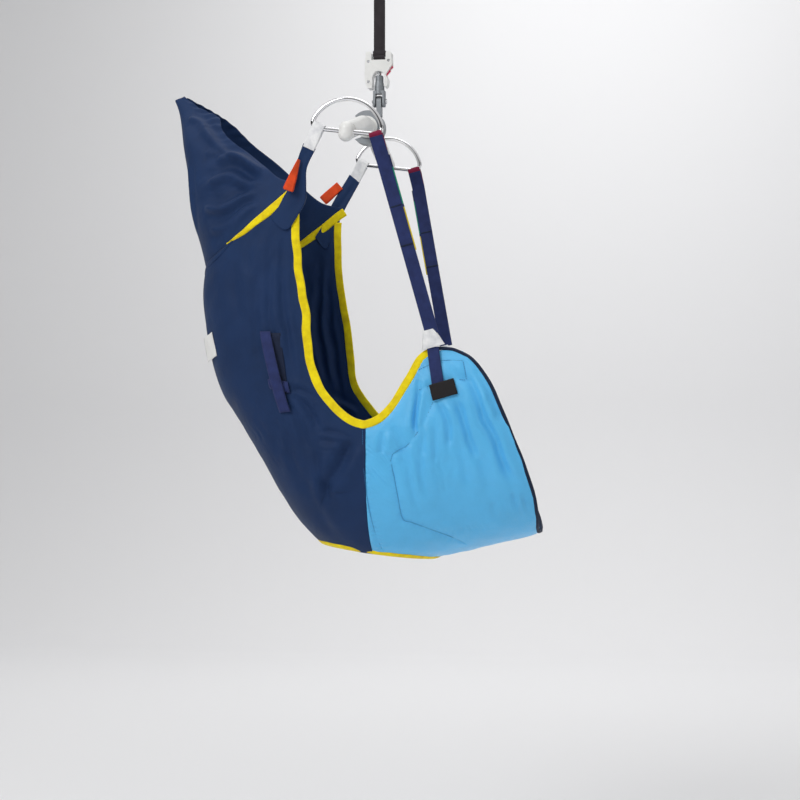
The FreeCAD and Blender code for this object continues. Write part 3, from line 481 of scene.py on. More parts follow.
def joined(name, *objects):
    """Several mesh objects as one."""
    bpy.ops.object.select_all(action="DESELECT")
    for obj in objects:
        obj.select_set(True)
    bpy.context.view_layer.objects.active = objects[0]
    bpy.ops.object.join()
    objects[0].name = name
    return objects[0]


def stitches(name, line, normals, pitch=3.2 * MM, length=2.2 * MM, radius=0.45 * MM, sink=0.1 * MM):
    """Thread stitches along a line, as small rounded bars lying on the surface."""
    line = np.array(line, float)
    normals = np.broadcast_to(np.array(normals, float), line.shape)
    steps = np.linalg.norm(np.diff(line, axis=0), axis=1)
    run = np.concatenate([[0], np.cumsum(steps)])
    points, faces = [], []
    profile = ((-0.5, 0.25), (-0.32, 1.0), (0.32, 1.0), (0.5, 0.25))
    corners = 6
    for middle in np.arange(pitch, run[-1] - pitch / 2, pitch):
        wanted = ((middle, line), (middle + pitch / 4, line), (middle, normals))
        here, ahead, up = (np.array([np.interp(place, run, values[:, k]) for k in range(3)])
                           for place, values in wanted)
        forward = ahead - here
        forward /= np.linalg.norm(forward) + 1e-12
        across = np.cross(forward, up)
        across /= np.linalg.norm(across) + 1e-12
        up = np.cross(across, forward)
        base = len(points)
        for place, swell in profile:
            for corner in range(corners):
                angle = 2 * math.pi * corner / corners
                points.append(here + forward * place * length - up * sink
                              + (across * math.cos(angle) + up * math.sin(angle)) * radius * swell)
        for ring in range(len(profile) - 1):
            for corner in range(corners):
                a = base + ring * corners + corner
                b = base + ring * corners + (corner + 1) % corners
                faces.append((a, b, b + corners, a + corners))
        faces.append(tuple(base + corner for corner in range(corners - 1, -1, -1)))
        faces.append(tuple(base + (len(profile) - 1) * corners + corner for corner in range(corners)))
    return new_object(name, points, faces)


# ---------------------------------------------------------------- materials
def node_material(name, rough=0.5, metal=0.0, **sockets):
    """A new material with its principled shader, and a helper that adds linked nodes."""
    material = bpy.data.materials.new(name)
    material.use_nodes = True
    tree = material.node_tree
    shader = tree.nodes["Principled BSDF"]
    shader.inputs["Roughness"].default_value = rough
    shader.inputs["Metallic"].default_value = metal
    for label, value in sockets.items():
        shader.inputs[label.replace("_", " ")].default_value = value

    def add(kind, inputs=None, **settings):
        item = tree.nodes.new(kind)
        for label, value in settings.items():
            setattr(item, label, value)
        for label, value in (inputs or {}).items():
            socket = item.inputs[label]
            if isinstance(value, bpy.types.NodeSocket):
                tree.links.new(value, socket)
            else:
                socket.default_value = value
        return item

    def join(output, label):
        tree.links.new(output, shader.inputs[label])

    return material, add, join


def colour_ramp(add, factor, stops, kind="LINEAR"):
    """Colours at given places of a value from 0 to 1."""
    item = add("ShaderNodeValToRGB", {"Fac": factor})
    ramp = item.color_ramp
    ramp.interpolation = kind
    for index, (place, colour) in enumerate(stops):
        spot = ramp.elements[index] if index < 2 else ramp.elements.new(place)
        spot.position = place
        spot.color = (*colour, 1)
    return item.outputs["Color"]


def shade(colour, share):
    return tuple(min(1.0, part * share) for part in colour)


def tone_map(add, join, factor, colour, low, high):
    """The base colour, between two shares of its plain value."""
    join(colour_ramp(add, factor, [(0.3, shade(colour, low)), (0.7, shade(colour, high))]), "Base Color")


def rough_map(add, join, factor, low, high):
    item = add("ShaderNodeMapRange", {"Value": factor, "To Min": low, "To Max": high})
    join(item.outputs["Result"], "Roughness")


def noise(add, spot, scale, detail, rough=0.5):
    inputs = {"Vector": spot, "Scale": scale, "Detail": detail, "Roughness": rough}
    return add("ShaderNodeTexNoise", inputs).outputs["Fac"]


def thread_lines(add, uv, pitch, direction, uneven, detail=2.0):
    """Parallel threads, a pitch apart, across one direction of the UVs."""
    inputs = {"Vector": uv, "Scale": 0.5 / pitch, "Distortion": uneven, "Detail": detail}
    item = add("ShaderNodeTexWave", inputs, wave_type="BANDS", bands_direction=direction)
    return item.outputs["Fac"]


def multiply_add(add, value, share, base):
    return add("ShaderNodeMath", {0: value, 1: share, 2: base}, operation="MULTIPLY_ADD").outputs[0]


def bump(add, join, height, strength, distance, base=None):
    inputs = {"Height": height, "Strength": strength, "Distance": distance}
    if base is not None:
        inputs["Normal"] = base
    item = add("ShaderNodeBump", inputs)
    join(item.outputs["Normal"], "Normal")
    return item.outputs["Normal"]


def woven(name, colour, pitch=0.9 * MM, rough=0.62, sheen=0.35, vary=0.16, gloss=0.35):
    """Plain woven cloth: crossing threads, uneven dye and a soft sheen."""
    material, add, join = node_material(name, rough, Sheen_Weight=sheen, Sheen_Roughness=0.4,
                                        Specular_IOR_Level=gloss)
    spot = add("ShaderNodeTexCoord").outputs["Object"]
    uv = add("ShaderNodeUVMap", uv_map="cloth").outputs["UV"]
    tone = noise(add, spot, 14.0, 6.0, 0.6)
    mixed = add("ShaderNodeMath", {0: tone, 1: 0.7}, operation="MULTIPLY").outputs[0]
    mixed = multiply_add(add, noise(add, spot, 900.0, 2.0), 0.3, mixed)
    tone_map(add, join, mixed, colour, 1 - vary, 1 + vary)
    threads = [thread_lines(add, uv, pitch, direction, 0.6, 1.0) for direction in ("X", "Y")]
    weave = add("ShaderNodeMath", {0: threads[0], 1: threads[1]}, operation="MAXIMUM").outputs[0]
    soft = bump(add, join, noise(add, spot, 55.0, 5.0, 0.55), 0.35, 2.5 * MM)
    bump(add, join, weave, 0.5, 0.12 * MM, soft)
    rough_map(add, join, tone, rough - 0.08, rough + 0.1)
    return material


def ribbed(name, colour, rib=1.5 * MM, rough=0.72, sheen=0.3, bands=None):
    """Webbing: ribs across its width, and colour bands along it where given."""
    material, add, join = node_material(name, rough, Sheen_Weight=sheen, Sheen_Roughness=0.5,
                                        Specular_IOR_Level=0.25)
    spot = add("ShaderNodeTexCoord").outputs["Object"]
    uv = add("ShaderNodeUVMap", uv_map="cloth").outputs["UV"]
    tone = noise(add, spot, 60.0, 5.0)
    base = colour_ramp(add, tone, [(0.3, shade(colour, 0.8)), (0.7, shade(colour, 1.15))])
    if bands:
        split = add("ShaderNodeSeparateXYZ", {"Vector": uv})
        length = add("ShaderNodeMath", {0: split.outputs["Y"], 1: 2.0}, operation="MULTIPLY")
        steps = colour_ramp(add, length.outputs[0], bands, "CONSTANT")
        tint = add("ShaderNodeMix", {"Factor": 0.25, "A": steps, "B": base}, data_type="RGBA",
                   blend_type="MULTIPLY")
        base = tint.outputs["Result"]
    join(base, "Base Color")
    ribs = thread_lines(add, uv, rib, "X", 0.4, 1.0)
    picks = thread_lines(add, uv, 0.8 * MM, "Y", 0.5)
    soft = bump(add, join, tone, 0.25, 1.0 * MM)
    bump(add, join, multiply_add(add, picks, 0.35, ribs), 0.55, 0.25 * MM, soft)
    return material


def moulded(name, colour, rough=0.32, vary=0.03, coat=0.0, wear=0.06):
    """Injection-moulded plastic: near-even colour, fine grain, and roughness that varies with handling."""
    material, add, join = node_material(name, rough, Coat_Weight=coat, Coat_Roughness=0.15)
    spot = add("ShaderNodeTexCoord").outputs["Object"]
    tone_map(add, join, noise(add, spot, 35.0, 4.0), colour, 1 - vary, 1 + vary)
    rough_map(add, join, noise(add, spot, 160.0, 6.0, 0.7), rough - wear, rough + wear * 1.6)
    bump(add, join, noise(add, spot, 2200.0, 1.0), 0.12, 0.05 * MM)
    return material


def metal(name, colour, rough=0.25, grain_scale=700.0, depth=0.02 * MM, stain=0.08, metallic=1.0):
    """Metal with fine working marks and slightly uneven polish."""
    material, add, join = node_material(name, rough, metallic)
    spot = add("ShaderNodeTexCoord").outputs["Object"]
    tone_map(add, join, noise(add, spot, 40.0, 6.0, 0.65), colour, 1 - stain, 1 + stain / 2)
    grain = noise(add, spot, grain_scale, 3.0)
    rough_map(add, join, grain, max(0.03, rough - 0.06), rough + 0.08)
    bump(add, join, grain, 0.3, depth)
    return material


NAVY = (0.011, 0.032, 0.098)
BLUE = (0.105, 0.50, 0.88)
YELLOW = (0.95, 0.70, 0.0)
STRAP_NAVY = (0.018, 0.030, 0.120)
LENGTH_BANDS = [(0.0, STRAP_NAVY), (0.05, (0.0, 0.34, 0.20)), (0.20, STRAP_NAVY), (0.212, (0.90, 0.72, 0.02))]
LOOKS = {
    "navy_cloth": (woven, NAVY, dict(rough=0.6, sheen=0.03, gloss=0.16)),
    "blue_cloth": (woven, BLUE, dict(rough=0.36, sheen=0.05, vary=0.07)),
    "yellow_tape": (ribbed, YELLOW, dict(rib=2.2 * MM, rough=0.7, sheen=0.1)),
    "navy_binding": (ribbed, (0.008, 0.016, 0.045), dict(rib=2.0 * MM, sheen=0.05)),
    "white_webbing": (ribbed, (0.88, 0.89, 0.92), dict(rib=1.6 * MM, sheen=0.1)),
    "navy_webbing": (ribbed, STRAP_NAVY, dict(rib=1.8 * MM, sheen=0.08)),
    "orange_webbing": (ribbed, (0.80, 0.075, 0.012), dict(rib=1.8 * MM, sheen=0.1)),
    "maroon_webbing": (ribbed, (0.22, 0.008, 0.045), dict(rib=1.8 * MM, sheen=0.05)),
    "length_webbing": (ribbed, (0.6, 0.6, 0.6), dict(rib=1.8 * MM, bands=LENGTH_BANDS)),
    "seam_thread": (woven, (0.025, 0.17, 0.40), dict(pitch=0.6 * MM, rough=0.6, sheen=0.1)),
    "black_patch": (woven, (0.012, 0.010, 0.011), dict(pitch=1.2 * MM, rough=0.8, sheen=0.1)),
    "label_cloth": (woven, (0.80, 0.80, 0.78), dict(pitch=0.7 * MM, rough=0.6, sheen=0.1, vary=0.04)),
    "tape_webbing": (ribbed, (0.028, 0.022, 0.026), dict(rib=1.9 * MM, sheen=0.15)),
    "white_plastic": (moulded, (0.82, 0.82, 0.80), dict(rough=0.34, coat=0.15)),
    "red_plastic": (moulded, (0.72, 0.012, 0.09), dict(rough=0.3, coat=0.2)),
    "bearing_plastic": (moulded, (0.62, 0.61, 0.57), dict(rough=0.42)),
    "stay_plastic": (moulded, (0.70, 0.70, 0.66), dict(rough=0.45)),
    "ring_chrome": (metal, (0.80, 0.80, 0.82), dict(rough=0.09, depth=0.005 * MM, stain=0.04)),
    "pin_steel": (metal, (0.56, 0.57, 0.59), dict(rough=0.24)),
    "zinc_steel": (metal, (0.52, 0.54, 0.57), dict(rough=0.34, grain_scale=300.0, stain=0.15)),
    "grey_metal": (metal, (0.27, 0.29, 0.31), dict(rough=0.42, grain_scale=1400.0, depth=0.06 * MM,
                                                   metallic=0.35)),
    "dark_steel": (metal, (0.035, 0.036, 0.04), dict(rough=0.4, metallic=0.6)),
}
MATERIALS = {name: make(name, colour, **settings) for name, (make, colour, settings) in LOOKS.items()}
for slot_entry in frame["record"]["subparts"]:
    NODES[slot_entry["node"]].data.materials.clear()
    NODES[slot_entry["node"]].data.materials.append(MATERIALS[slot_entry["material_slot"]])


def finish_piece(obj, slot, *nodes, body=RIDE_ON, look=None):
    """Give a piece the material named by look, or else by slot, and set it on its body in place of its CAD
    nodes.
    """
    obj.data.materials.clear()
    obj.data.materials.append(MATERIALS[look or slot])
    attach(obj, body)
    if nodes:
        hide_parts(*nodes)
    return obj


# ---------------------------------------------------------------- lift tape, the one free cord
def make_lift_tape():
    """One strip of webbing sewn into a flat loop round the anchor thimble and the coupling's pin."""
    top_turn = 8.1 * MM
    low_turn = 4.6 * MM
    ply = 1.05 * MM
    points = []
    for turn, z, low in ((top_turn, ANCHOR_PIN_Z, -1), (low_turn, TAPE_PIN_Z, 1)):
        lean = math.acos(ply / turn)
        start, end = (-lean, math.pi + lean) if low < 0 else (math.pi - lean, 2 * math.pi + lean)
        for angle in np.linspace(start, end, 25):
            points.append((0, turn * math.cos(angle), z + turn * math.sin(angle)))
        side = -ply if low < 0 else ply
        run = np.linspace(0.1, 0.9, 22)
        ends = (z + turn * math.sin(end), TAPE_PIN_Z if low < 0 else ANCHOR_PIN_Z)
        points += [(0, side, ends[0] + (ends[1] - ends[0]) * place) for place in run * 0.96]
    tape = band("lift_tape_cloth", points, (1, 0, 0), 24 * MM, 2 * MM, closed=True)
    cuff_path = [(0, side * 3.1 * MM, TAPE_PIN_Z + z * MM) for side, z in ((-1, 14), (-1, 8), (-1, 2))]
    cuffs = [band("cuff", [(0, y * side, z) for _, y, z in cuff_path], (1, 0, 0), 27.5 * MM, 2 * MM)
             for side in (1, -1)]
    rows = []
    for z in (16, 20, 24):
        for side in (-1, 1):
            line = [(x * MM, side * 2.1 * MM, TAPE_PIN_Z + z * MM) for x in (-10, 0, 10)]
            rows.append(stitches("rows", line, (0, side, 0)))
    tape = joined("lift_tape_cloth", tape, *cuffs, *rows)
    finish_piece(tape, "tape_webbing", "lift_tape", body="overhead")


make_lift_tape()


# ---------------------------------------------------------------- cloth panels
def edge_fade(across, start=0.90, end=0.972):
    """1 over the cloth and 0 under the tape along its side edge."""
    share = np.clip((end - np.abs(across)) / (end - start), 0, 1)
    return share * share * (3 - 2 * share)


def seam_fade(v, start, end):
    """0 where two panels are sewn together at start, 1 from end on."""
    share = np.clip((v - start) / (end - start), 0, 1)
    return share * share * (3 - 2 * share)


def surface_relief(points, across, sign, folds, seed, swell=1.4):
    """How far the cloth stands off its plain surface: listed folds, ripples and slow unevenness."""
    wall = wall_share(across)
    relief = folded(points, folds, sign, seed) * wall
    relief += wobble(points, 0.16, seed + 5) * swell * MM * (0.35 + 0.65 * wall)
    relief += wobble(points, 0.045, seed + 9) * 0.4 * MM
    return relief * edge_fade(across)


def fine_creases(points, centre, reach, direction, pitch, depth, seed):
    """A patch of short parallel creases, round a place on the side wall (millimetres)."""
    flat = points[..., [0, 2]] / MM
    away = (flat - np.array(centre)) / np.array(reach)
    inside = np.exp(-(away ** 2).sum(-1) * 1.5)
    course = np.array(direction, float)
    course /= np.linalg.norm(course)
    phase = flat @ np.array([-course[1], course[0]]) / pitch + wobble(points, 0.05, seed) * 0.35
    broken = 0.5 + 0.5 * np.tanh(wobble(points, 0.035, seed + 3) * 1.5)
    return -(np.abs(np.cos(math.pi * phase)) ** 3) * inside * broken * depth * MM


def half_panel(rows, along, low, high, sign, steps, outer_at, inner_at):
    """Outer and inner points of one half of a panel, from its edge (high) to its middle (low)."""
    share = np.linspace(0, 1, steps)
    part = high[:, None] - (high - low)[:, None] * share
    across = sign * np.maximum(part, 1e-7)
    v = np.broadcast_to(along[:, None], across.shape)
    base = sling(rows, v, across)
    normal = outward(rows, v, across)
    normal[:, -1, 1] = np.where(low > 0, normal[:, -1, 1], 0)
    return (base + normal * outer_at(base, v, across, sign)[..., None],
            base + normal * inner_at(base, v, across, sign)[..., None], low > 0)


def panel(name, rows, along, side, steps, outer_at, inner_at, opening=False, bulge=0.0):
    """A closed cloth panel from both halves. It is open along the commode opening where it has one, and
    bulge is how much further its near edge reaches at each place along it."""
    points, faces, uvs = [], [], []
    total = 0
    for _, sign in SIDES:
        low = opening_edge(along, sign, 3 * MM) if opening else np.zeros_like(along)
        high = np.full_like(along, side) + (bulge if sign < 0 else 0.0)
        outer, inner, rim = half_panel(rows, along, low, high, sign, steps, outer_at, inner_at)
        if sign > 0:
            outer, inner = inner, outer
        half_points, half_faces, half_uv = two_skins(outer, inner, rim)
        points.append(half_points)
        faces += [tuple(total + corner for corner in face) for face in half_faces]
        uvs.append(half_uv * np.array([sign, 1]))
        total += len(half_points)
    obj = new_object(name, np.concatenate(points), faces, np.concatenate(uvs))
    return weld(obj, 2e-5)


def single_ply(outer):
    """The inner side of one thickness of cloth, from the function for its outer side."""
    return lambda *place: outer(*place) - CLOTH_THICK


def make_back_panel():
    along = np.linspace(0.0, SEAM, 210)

    def outer(points, v, across, sign):
        relief = surface_relief(points, across, sign, NAVY_FOLDS, 11)
        wall = wall_share(across) * edge_fade(across)
        relief += sum(fine_creases(points, *patch) for patch in NAVY_CREASES) * wall
        return CLOTH_THICK / 2 + relief * seam_fade(v, 0.012, 0.04)

    obj = panel("back_cloth", BODY, along, 0.99, 170, outer, single_ply(outer), opening=True)
    finish_piece(obj, "navy_cloth", "back_panel")


def make_hood():
    along = np.linspace(0.0, 1.0, 150)

    def outer(points, v, across, sign):
        wall = wall_share(across, 0.1, 0.3)
        relief = folded(points, HOOD_FOLDS, sign, 21) * wall * 1.35
        relief += wobble(points, 0.14, 25) * 1.7 * MM * (0.4 + 0.6 * wall)
        relief += fine_creases(points, *HOOD_CREASES) * wall
        edge = np.clip((np.abs(across) - 0.86) / 0.14, 0, 1)
        gather = np.sin(v * 2 * math.pi * 17 + wobble(points, 0.06, 27)) * edge
        relief += gather * 1.6 * MM * np.clip((v - 0.45) * 4, 0, 1)
        return CLOTH_THICK / 2 + relief * seam_fade(v, 0.0, 0.07)

    bulge = 0.095 * np.exp(-((along - 0.79) / 0.075) ** 2)
    obj = panel("hood_cloth", HOOD, along, 1.0, 110, outer, single_ply(outer), bulge=bulge)
    finish_piece(obj, "navy_cloth", "hood_panel")


def seam_field(points, sign):
    """Distance to the nearest sewn line of the leg panel in millimetres, and ripples pulled in along it."""
    flat = points[..., [0, 2]] / MM
    if sign > 0:
        flat = flat - np.array([FAR_SHIFT * 0.6, 0])
    best = np.full(points.shape[:-1], 200.0)
    pucker = np.zeros(points.shape[:-1])
    for index, (line, weight) in enumerate(LEG_SEAMS):
        line = np.array(line, float) if line is POCKET else rounded_line(line, 40)
        away, place, length = nearness(flat, line)
        best = np.minimum(best, away / weight)
        ripple = np.sin(place * length * 2 * math.pi / 9.0 + wobble(points, 0.03, 40 + index) * 1.3)
        pucker += ripple * np.exp(-away / 8) * np.clip(away / 3, 0, 1)
    return best, pucker


def edge_distance(points, v, across):
    """Distance in millimetres from a place on the leg panel to its bound or sewn edges."""
    along = np.minimum((v - SEAM) * 1150, (0.992 - v) * 1150)
    side = (SIDE - np.abs(across)) * 680
    return np.minimum(np.minimum(along, side), above_opening(points) / MM - 13)


def make_leg_panel():
    along = np.linspace(SEAM, KNEE, 150)

    def outer(points, v, across, sign):
        wall = wall_share(across, 0.2, 0.35)
        away, pucker = seam_field(points, sign)
        away = np.where(wall > 0, away / np.maximum(wall, 1e-3), 300)
        away = np.minimum(away, edge_distance(points, v, across))
        puff = 1 - np.exp(-np.clip(away, 0, None) / 7)
        relief = surface_relief(points, across, sign, BLUE_FOLDS, 51, swell=1.2)
        relief += pucker * 0.75 * MM * wall
        wall = wall * edge_fade(across)
        relief += sum(fine_creases(points, *patch) for patch in BLUE_CREASES) * wall
        return (0.9 + 3.3 * puff) * MM + relief

    def inner(points, v, across, sign):
        relief = surface_relief(points, across, sign, BLUE_FOLDS, 51, swell=1.2)
        away = edge_distance(points, v, across)
        return relief - (0.8 + 2.2 * (1 - np.exp(-np.clip(away, 0, None) / 9))) * MM

    obj = panel("leg_pad", BODY, along, 0.99, 190, outer, inner, opening=True)
    finish_piece(obj, "blue_cloth", "leg_panel")


make_back_panel()
make_hood()
make_leg_panel()


# ---------------------------------------------------------------- bindings
def unit(vectors):
    return vectors / np.linalg.norm(vectors, axis=-1, keepdims=True)


def edge_course(rows, along, across):
    """Points along the cloth, their outward normals, and the direction in the cloth away from its edge."""
    along, across = np.broadcast_arrays(np.asarray(along, float), np.asarray(across, float))
    path = sling(rows, along, across)
    normal = outward(rows, along, across)
    side = unit(np.cross(normal, unit(np.gradient(path, axis=0))))
    inside = sling(rows, along * 0.98 + 0.01, across * 0.98) - path
    side *= np.sign((side * inside).sum(-1, keepdims=True))
    return path, normal, side


def edging(name, rows, along, across, width, thick, seed, waver=0.8, overhang=1.0 * MM):
    """Tape folded over a cloth edge, with the small unevenness of hand-guided sewing."""
    path, normal, side = edge_course(rows, along, across)
    inset = np.asarray(width) / 2 - overhang + waver * MM * wobble(path, 0.055, seed)
    path = path + side * np.atleast_1d(inset)[:, None]
    path = path + normal * (wobble(path, 0.06, seed + 1) * 0.6 * waver * MM)[:, None]
    return band(name, path, side, width, thick, crown=0.35 * MM, out=normal)


def make_bindings():
    """The tapes on the sling's front, shoulder, neck and knee edges and round its commode opening."""
    for name, sign in SIDES:
        along = np.linspace(NECK + 0.001, 0.947, 420)
        kinks = np.exp(-((along - 0.26) / 0.035) ** 2) + np.exp(-((along - 0.36) / 0.02) ** 2)
        width = (17.0 + 1.2 * kinks) * MM
        front = edging("%s_front_tape" % name, BODY, along, np.full_like(along, sign), width, 4.2 * MM,
                       71 + sign, waver=1.0)
        finish_piece(front, "yellow_tape", "%s_front_binding" % name)
        across = np.linspace(0.6, 1.0, 90) * sign
        taper = np.interp(np.abs(across), (0.6, 0.72, 0.86, 1.0), (3.0 * MM, 12.0 * MM, 18.0 * MM, 19.0 * MM))
        shoulder = edging("%s_shoulder_tape" % name, BODY, np.full_like(across, 0.001), across, taper,
                          6.0 * MM, 75 + sign, waver=0.5, overhang=2.0 * MM)
        finish_piece(shoulder, "yellow_tape", "%s_shoulder_binding" % name)

    across = np.linspace(-0.64, 0.64, 160)
    taper = np.interp(np.abs(across), (0, 0.45, 0.64), (18 * MM, 14 * MM, 5 * MM))
    neck = edging("neck_tape", BODY, np.full_like(across, 0.001), across, taper, 4.4 * MM, 81, overhang=0.0)
    finish_piece(neck, "navy_cloth", "neck_band")

    turn = np.linspace(0, math.pi / 2, 8)
    corner = np.stack([0.984 + 0.014 * np.sin(turn), -1 + 0.03 * (1 - np.cos(turn))], axis=-1)
    start = np.stack([np.linspace(0.945, 0.983, 24), np.full(24, -1.0)], axis=-1)
    run = np.stack([np.full(240, 0.998), np.linspace(-0.965, 0.965, 240)], axis=-1)
    course = np.concatenate([start, corner, run, (corner * [1, -1])[::-1], (start * [1, -1])[::-1]])
    knee = edging("knee_tape", BODY, course[:, 0], course[:, 1], 7.5 * MM, 5.0 * MM, 83, waver=0.5)
    finish_piece(knee, "navy_binding", "knee_binding")

    half_width = 6.3 * MM
    probe = np.linspace(0.4, 0.85, 900)
    under = probe[above_opening(sling(BODY, probe, np.full_like(probe, 1e-6))) < half_width]
    share = (1 - np.cos(np.linspace(0, math.pi, 130))) / 2
    along = under[0] + (under[-1] - under[0]) * share
    sides = [np.stack([along, sign * np.maximum(opening_edge(along, sign, half_width), 1e-5)], axis=-1)
             for _, sign in SIDES]
    loop = np.concatenate([sides[0], sides[1][::-1][1:-1]])
    path = sling(BODY, loop[:, 0], loop[:, 1])
    normal = outward(BODY, loop[:, 0], loop[:, 1])
    side = np.cross(normal, np.roll(path, -1, axis=0) - np.roll(path, 1, axis=0))
    seat = band("aperture_tape", path, side, 13.5 * MM, 4.4 * MM, closed=True, crown=0.3 * MM, out=normal)
    finish_piece(seat, "yellow_tape", "aperture_binding")


# ---------------------------------------------------------------- straps and sewn pieces
SIDEWAYS = np.array([0, 1.0, 0])


def strap_side(path):
    """Width directions of a strap whose face looks to the side."""
    return np.cross(SIDEWAYS, np.gradient(path, axis=0))


def spatial(points):
    """Given places in millimetres as metres."""
    return np.array(points, float) * MM


def shell(name, outer, thick, normal):
    """A closed piece of cloth from a grid of outer points."""
    points, faces, uv = two_skins(outer, outer - normal * thick)
    return weld(new_object(name, points, faces, uv))


def sewn(name, corners, sign, lift, thick, start, counts=(16, 8), rise=0.0):
    """A flat piece lying on a side wall: corners top left, top right, low left, low right in millimetres."""
    corners = np.array(corners, float)
    grid = np.zeros(counts + (2,))
    for i, down in enumerate(np.linspace(0, 1, counts[0])):
        for j, right in enumerate(np.linspace(0, 1, counts[1])):
            x, z = ((corners[0] * (1 - right) + corners[1] * right) * (1 - down)
                    + (corners[2] * (1 - right) + corners[3] * right) * down)
            start = locate(x, z, sign, (start[0], abs(start[1])))
            grid[i, j] = start
        start = tuple(grid[i, 0])
    v, w = grid[..., 0], grid[..., 1]
    normal = outward(BODY, v, w)
    down = np.linspace(0, 1, counts[0])[:, None]
    height = lift + rise * np.sin(math.pi * down) ** 0.7 + thick
    outer = sling(BODY, v, w) + normal * (height + np.zeros_like(v))[..., None]
    return shell(name, outer, thick, normal)


def rod_loop(name, hook, join, width, thick):
    """Webbing folded over a ring's bar at hook, its two plies meeting at join."""
    hook, join = spatial(hook), spatial(join)
    up = unit(hook - join)
    across = unit(np.cross(SIDEWAYS, up))
    out = np.cross(up, across)
    length = np.linalg.norm(hook - join)
    turn = RING_ROD + 0.4 * MM + thick / 2
    path = []
    for height, away in zip(np.linspace(0, 0.9, 14), np.linspace(thick * 0.55, turn * 0.98, 14)):
        path.append(join + up * height * length + out * away)
    for angle in np.linspace(math.radians(-5), math.radians(185), 22):
        path.append(hook + out * turn * math.cos(angle) + up * turn * math.sin(angle))
    for height, away in zip(np.linspace(0.9, 0, 14), np.linspace(turn * 0.98, thick * 0.55, 14)):
        path.append(join + up * height * length - out * away)
    return band(name, path, across, width, thick, crown=0.15 * MM)


def folded_loop(name, top, low, width, gap, twist, narrow):
    """A short spare loop: a front ply, a fold at its low end, and a back ply, gathered where it is sewn."""
    top, low = spatial(top), spatial(low)
    down = unit(low - top)
    facing = unit(down * np.dot(down, SIDEWAYS) - SIDEWAYS)
    wide = np.cross(down, facing)
    length = np.linalg.norm(low - top)
    path, sides = [], []
    down_and_up = [(place, ply) for ply in (1, -1) for place in np.linspace(0, 1, 16)[::ply]]
    for place, ply in down_and_up:
        swell = gap / 2 * (0.35 + 0.65 * math.sin(math.pi / 2 * place))
        path.append(top + down * place * (length - gap / 2) + facing * swell * ply)
        turn = math.radians(twist) * (1 - place) ** 1.3
        sides.append(wide * math.cos(turn) + facing * math.sin(turn))
    for index, angle in enumerate(np.linspace(-60, 60, 7)):
        bend = math.radians(angle)
        path.insert(16 + index, top + down * (length - gap / 2 + gap / 2 * math.cos(bend))
                    - facing * gap / 2 * math.sin(bend))
        sides.insert(16 + index, wide)
    share = np.concatenate([np.linspace(0, 1, 16), np.ones(7), np.linspace(1, 0, 16)])
    return band(name, path, sides, width * (narrow + (1 - narrow) * share), 1.8 * MM, crown=0.1 * MM)


# Places on the near wall in millimetres: hooks and joins as (x, z), sewn pieces as four corners.
SHOULDER_HOOK = (-80, -404)
SHOULDER_JOIN = (-100, -444)
FLAP_LEFT = {"near": [(-113, -437), (-126, -470), (-135, -500), (-153, -535), (-186, -580)],
             "far": [(-110, -430), (-131, -466), (-150, -503), (-165, -537), (-186, -572)]}
FLAP_RIGHT = {"near": [(-88, -449), (-107, -486), (-111, -520), (-113, -556), (-139, -599)],
              "far": [(-88, -449), (-104, -480), (-122, -514), (-136, -545), (-150, -590)]}
LEG_HOOK = (36, -424)
LEG_JOIN = (45, -458)
LEG_FOOT = (141, -812)
TAIL = [(130, -847), (154, -847), (143, -926), (167, -922)]
PATCH = [(137, -924), (186, -910), (145, -955), (195, -941)]
HANDLE = [(-205, -812), (-183, -812), (-163, -976), (-141, -974)]
# Corners of a dark patch beside the handle: painted shadow of the gap between the handle strap and the body.
HANDLE_SHADOW = [(-184, -816), (-162, -816), (-168, -938), (-146, -938)]
HANDLE_BAR = [(-188, -908), (-146, -914), (-183, -928), (-141, -937)]
HANDLE_START = (0.25, 0.6)
LEG_START = (0.9, 0.9)
RING_SPAN = 225
FOOT_SPAN = 175
LEG_WEB = 27 * MM
SHOULDER_WEB = 25 * MM
STITCHED_BARS = (-566, -643)
SPARE_LOOPS = {"near": ((-121, -225, -470), (-143, -226, -531), 20.5, 8, 60, 0.35),
               "far": ((-131, 214, -455), (-168, 208, -489), 21.0, 9, 6, 0.95)}


def make_shoulder(name, sign):
    """The strap and the wide flap it ends in, which is sewn over the sling's shoulder corner."""
    left = rounded_line(FLAP_LEFT[name], 70)
    right = rounded_line(FLAP_RIGHT[name], 70)
    down = np.linspace(0, 1, 70)[:, None]
    across = np.linspace(0, 1, 26)[None, :]
    flat = left[:, None] * (1 - across[..., None]) + right[:, None] * across[..., None]
    bulge = 4 * across * (1 - across) * down ** 4
    x = (flat[..., 0] + bulge * 3) * MM
    z = (flat[..., 1] - bulge * 17) * MM
    spread = np.interp(down, (0, 0.3, 0.6, 1), (222, 216.5, 212.5, 208)) * np.ones_like(across)
    y = (spread - 5.5 * (1 - across) * down ** 2 + 2.4 * np.sin(math.pi * across) * down ** 1.5
         + 1.3 * np.sin(across * 9 + down * 7) * down * (1 - down) * 3) * MM * sign
    outer = np.stack([x, y, z], axis=-1)
    run = np.gradient(outer, axis=0)
    normal = unit(np.cross(np.gradient(outer, axis=1), run))
    normal *= np.sign(normal[..., 1:2] * sign)
    thick = np.interp(down, (0, 0.4, 1), (2.6, 4.0, 9.5)) * MM
    flap = shell("%s_shoulder_flap" % name, outer, thick[..., None], normal)
    hem = [stitches("hem", outer[4:66, column], normal[4:66, column], radius=0.35 * MM) for column in (2, 23)]
    flap = joined("%s_shoulder_flap" % name, flap, *hem)
    finish_piece(flap, "navy_webbing", "%s_shoulder_strap" % name, look="navy_cloth")


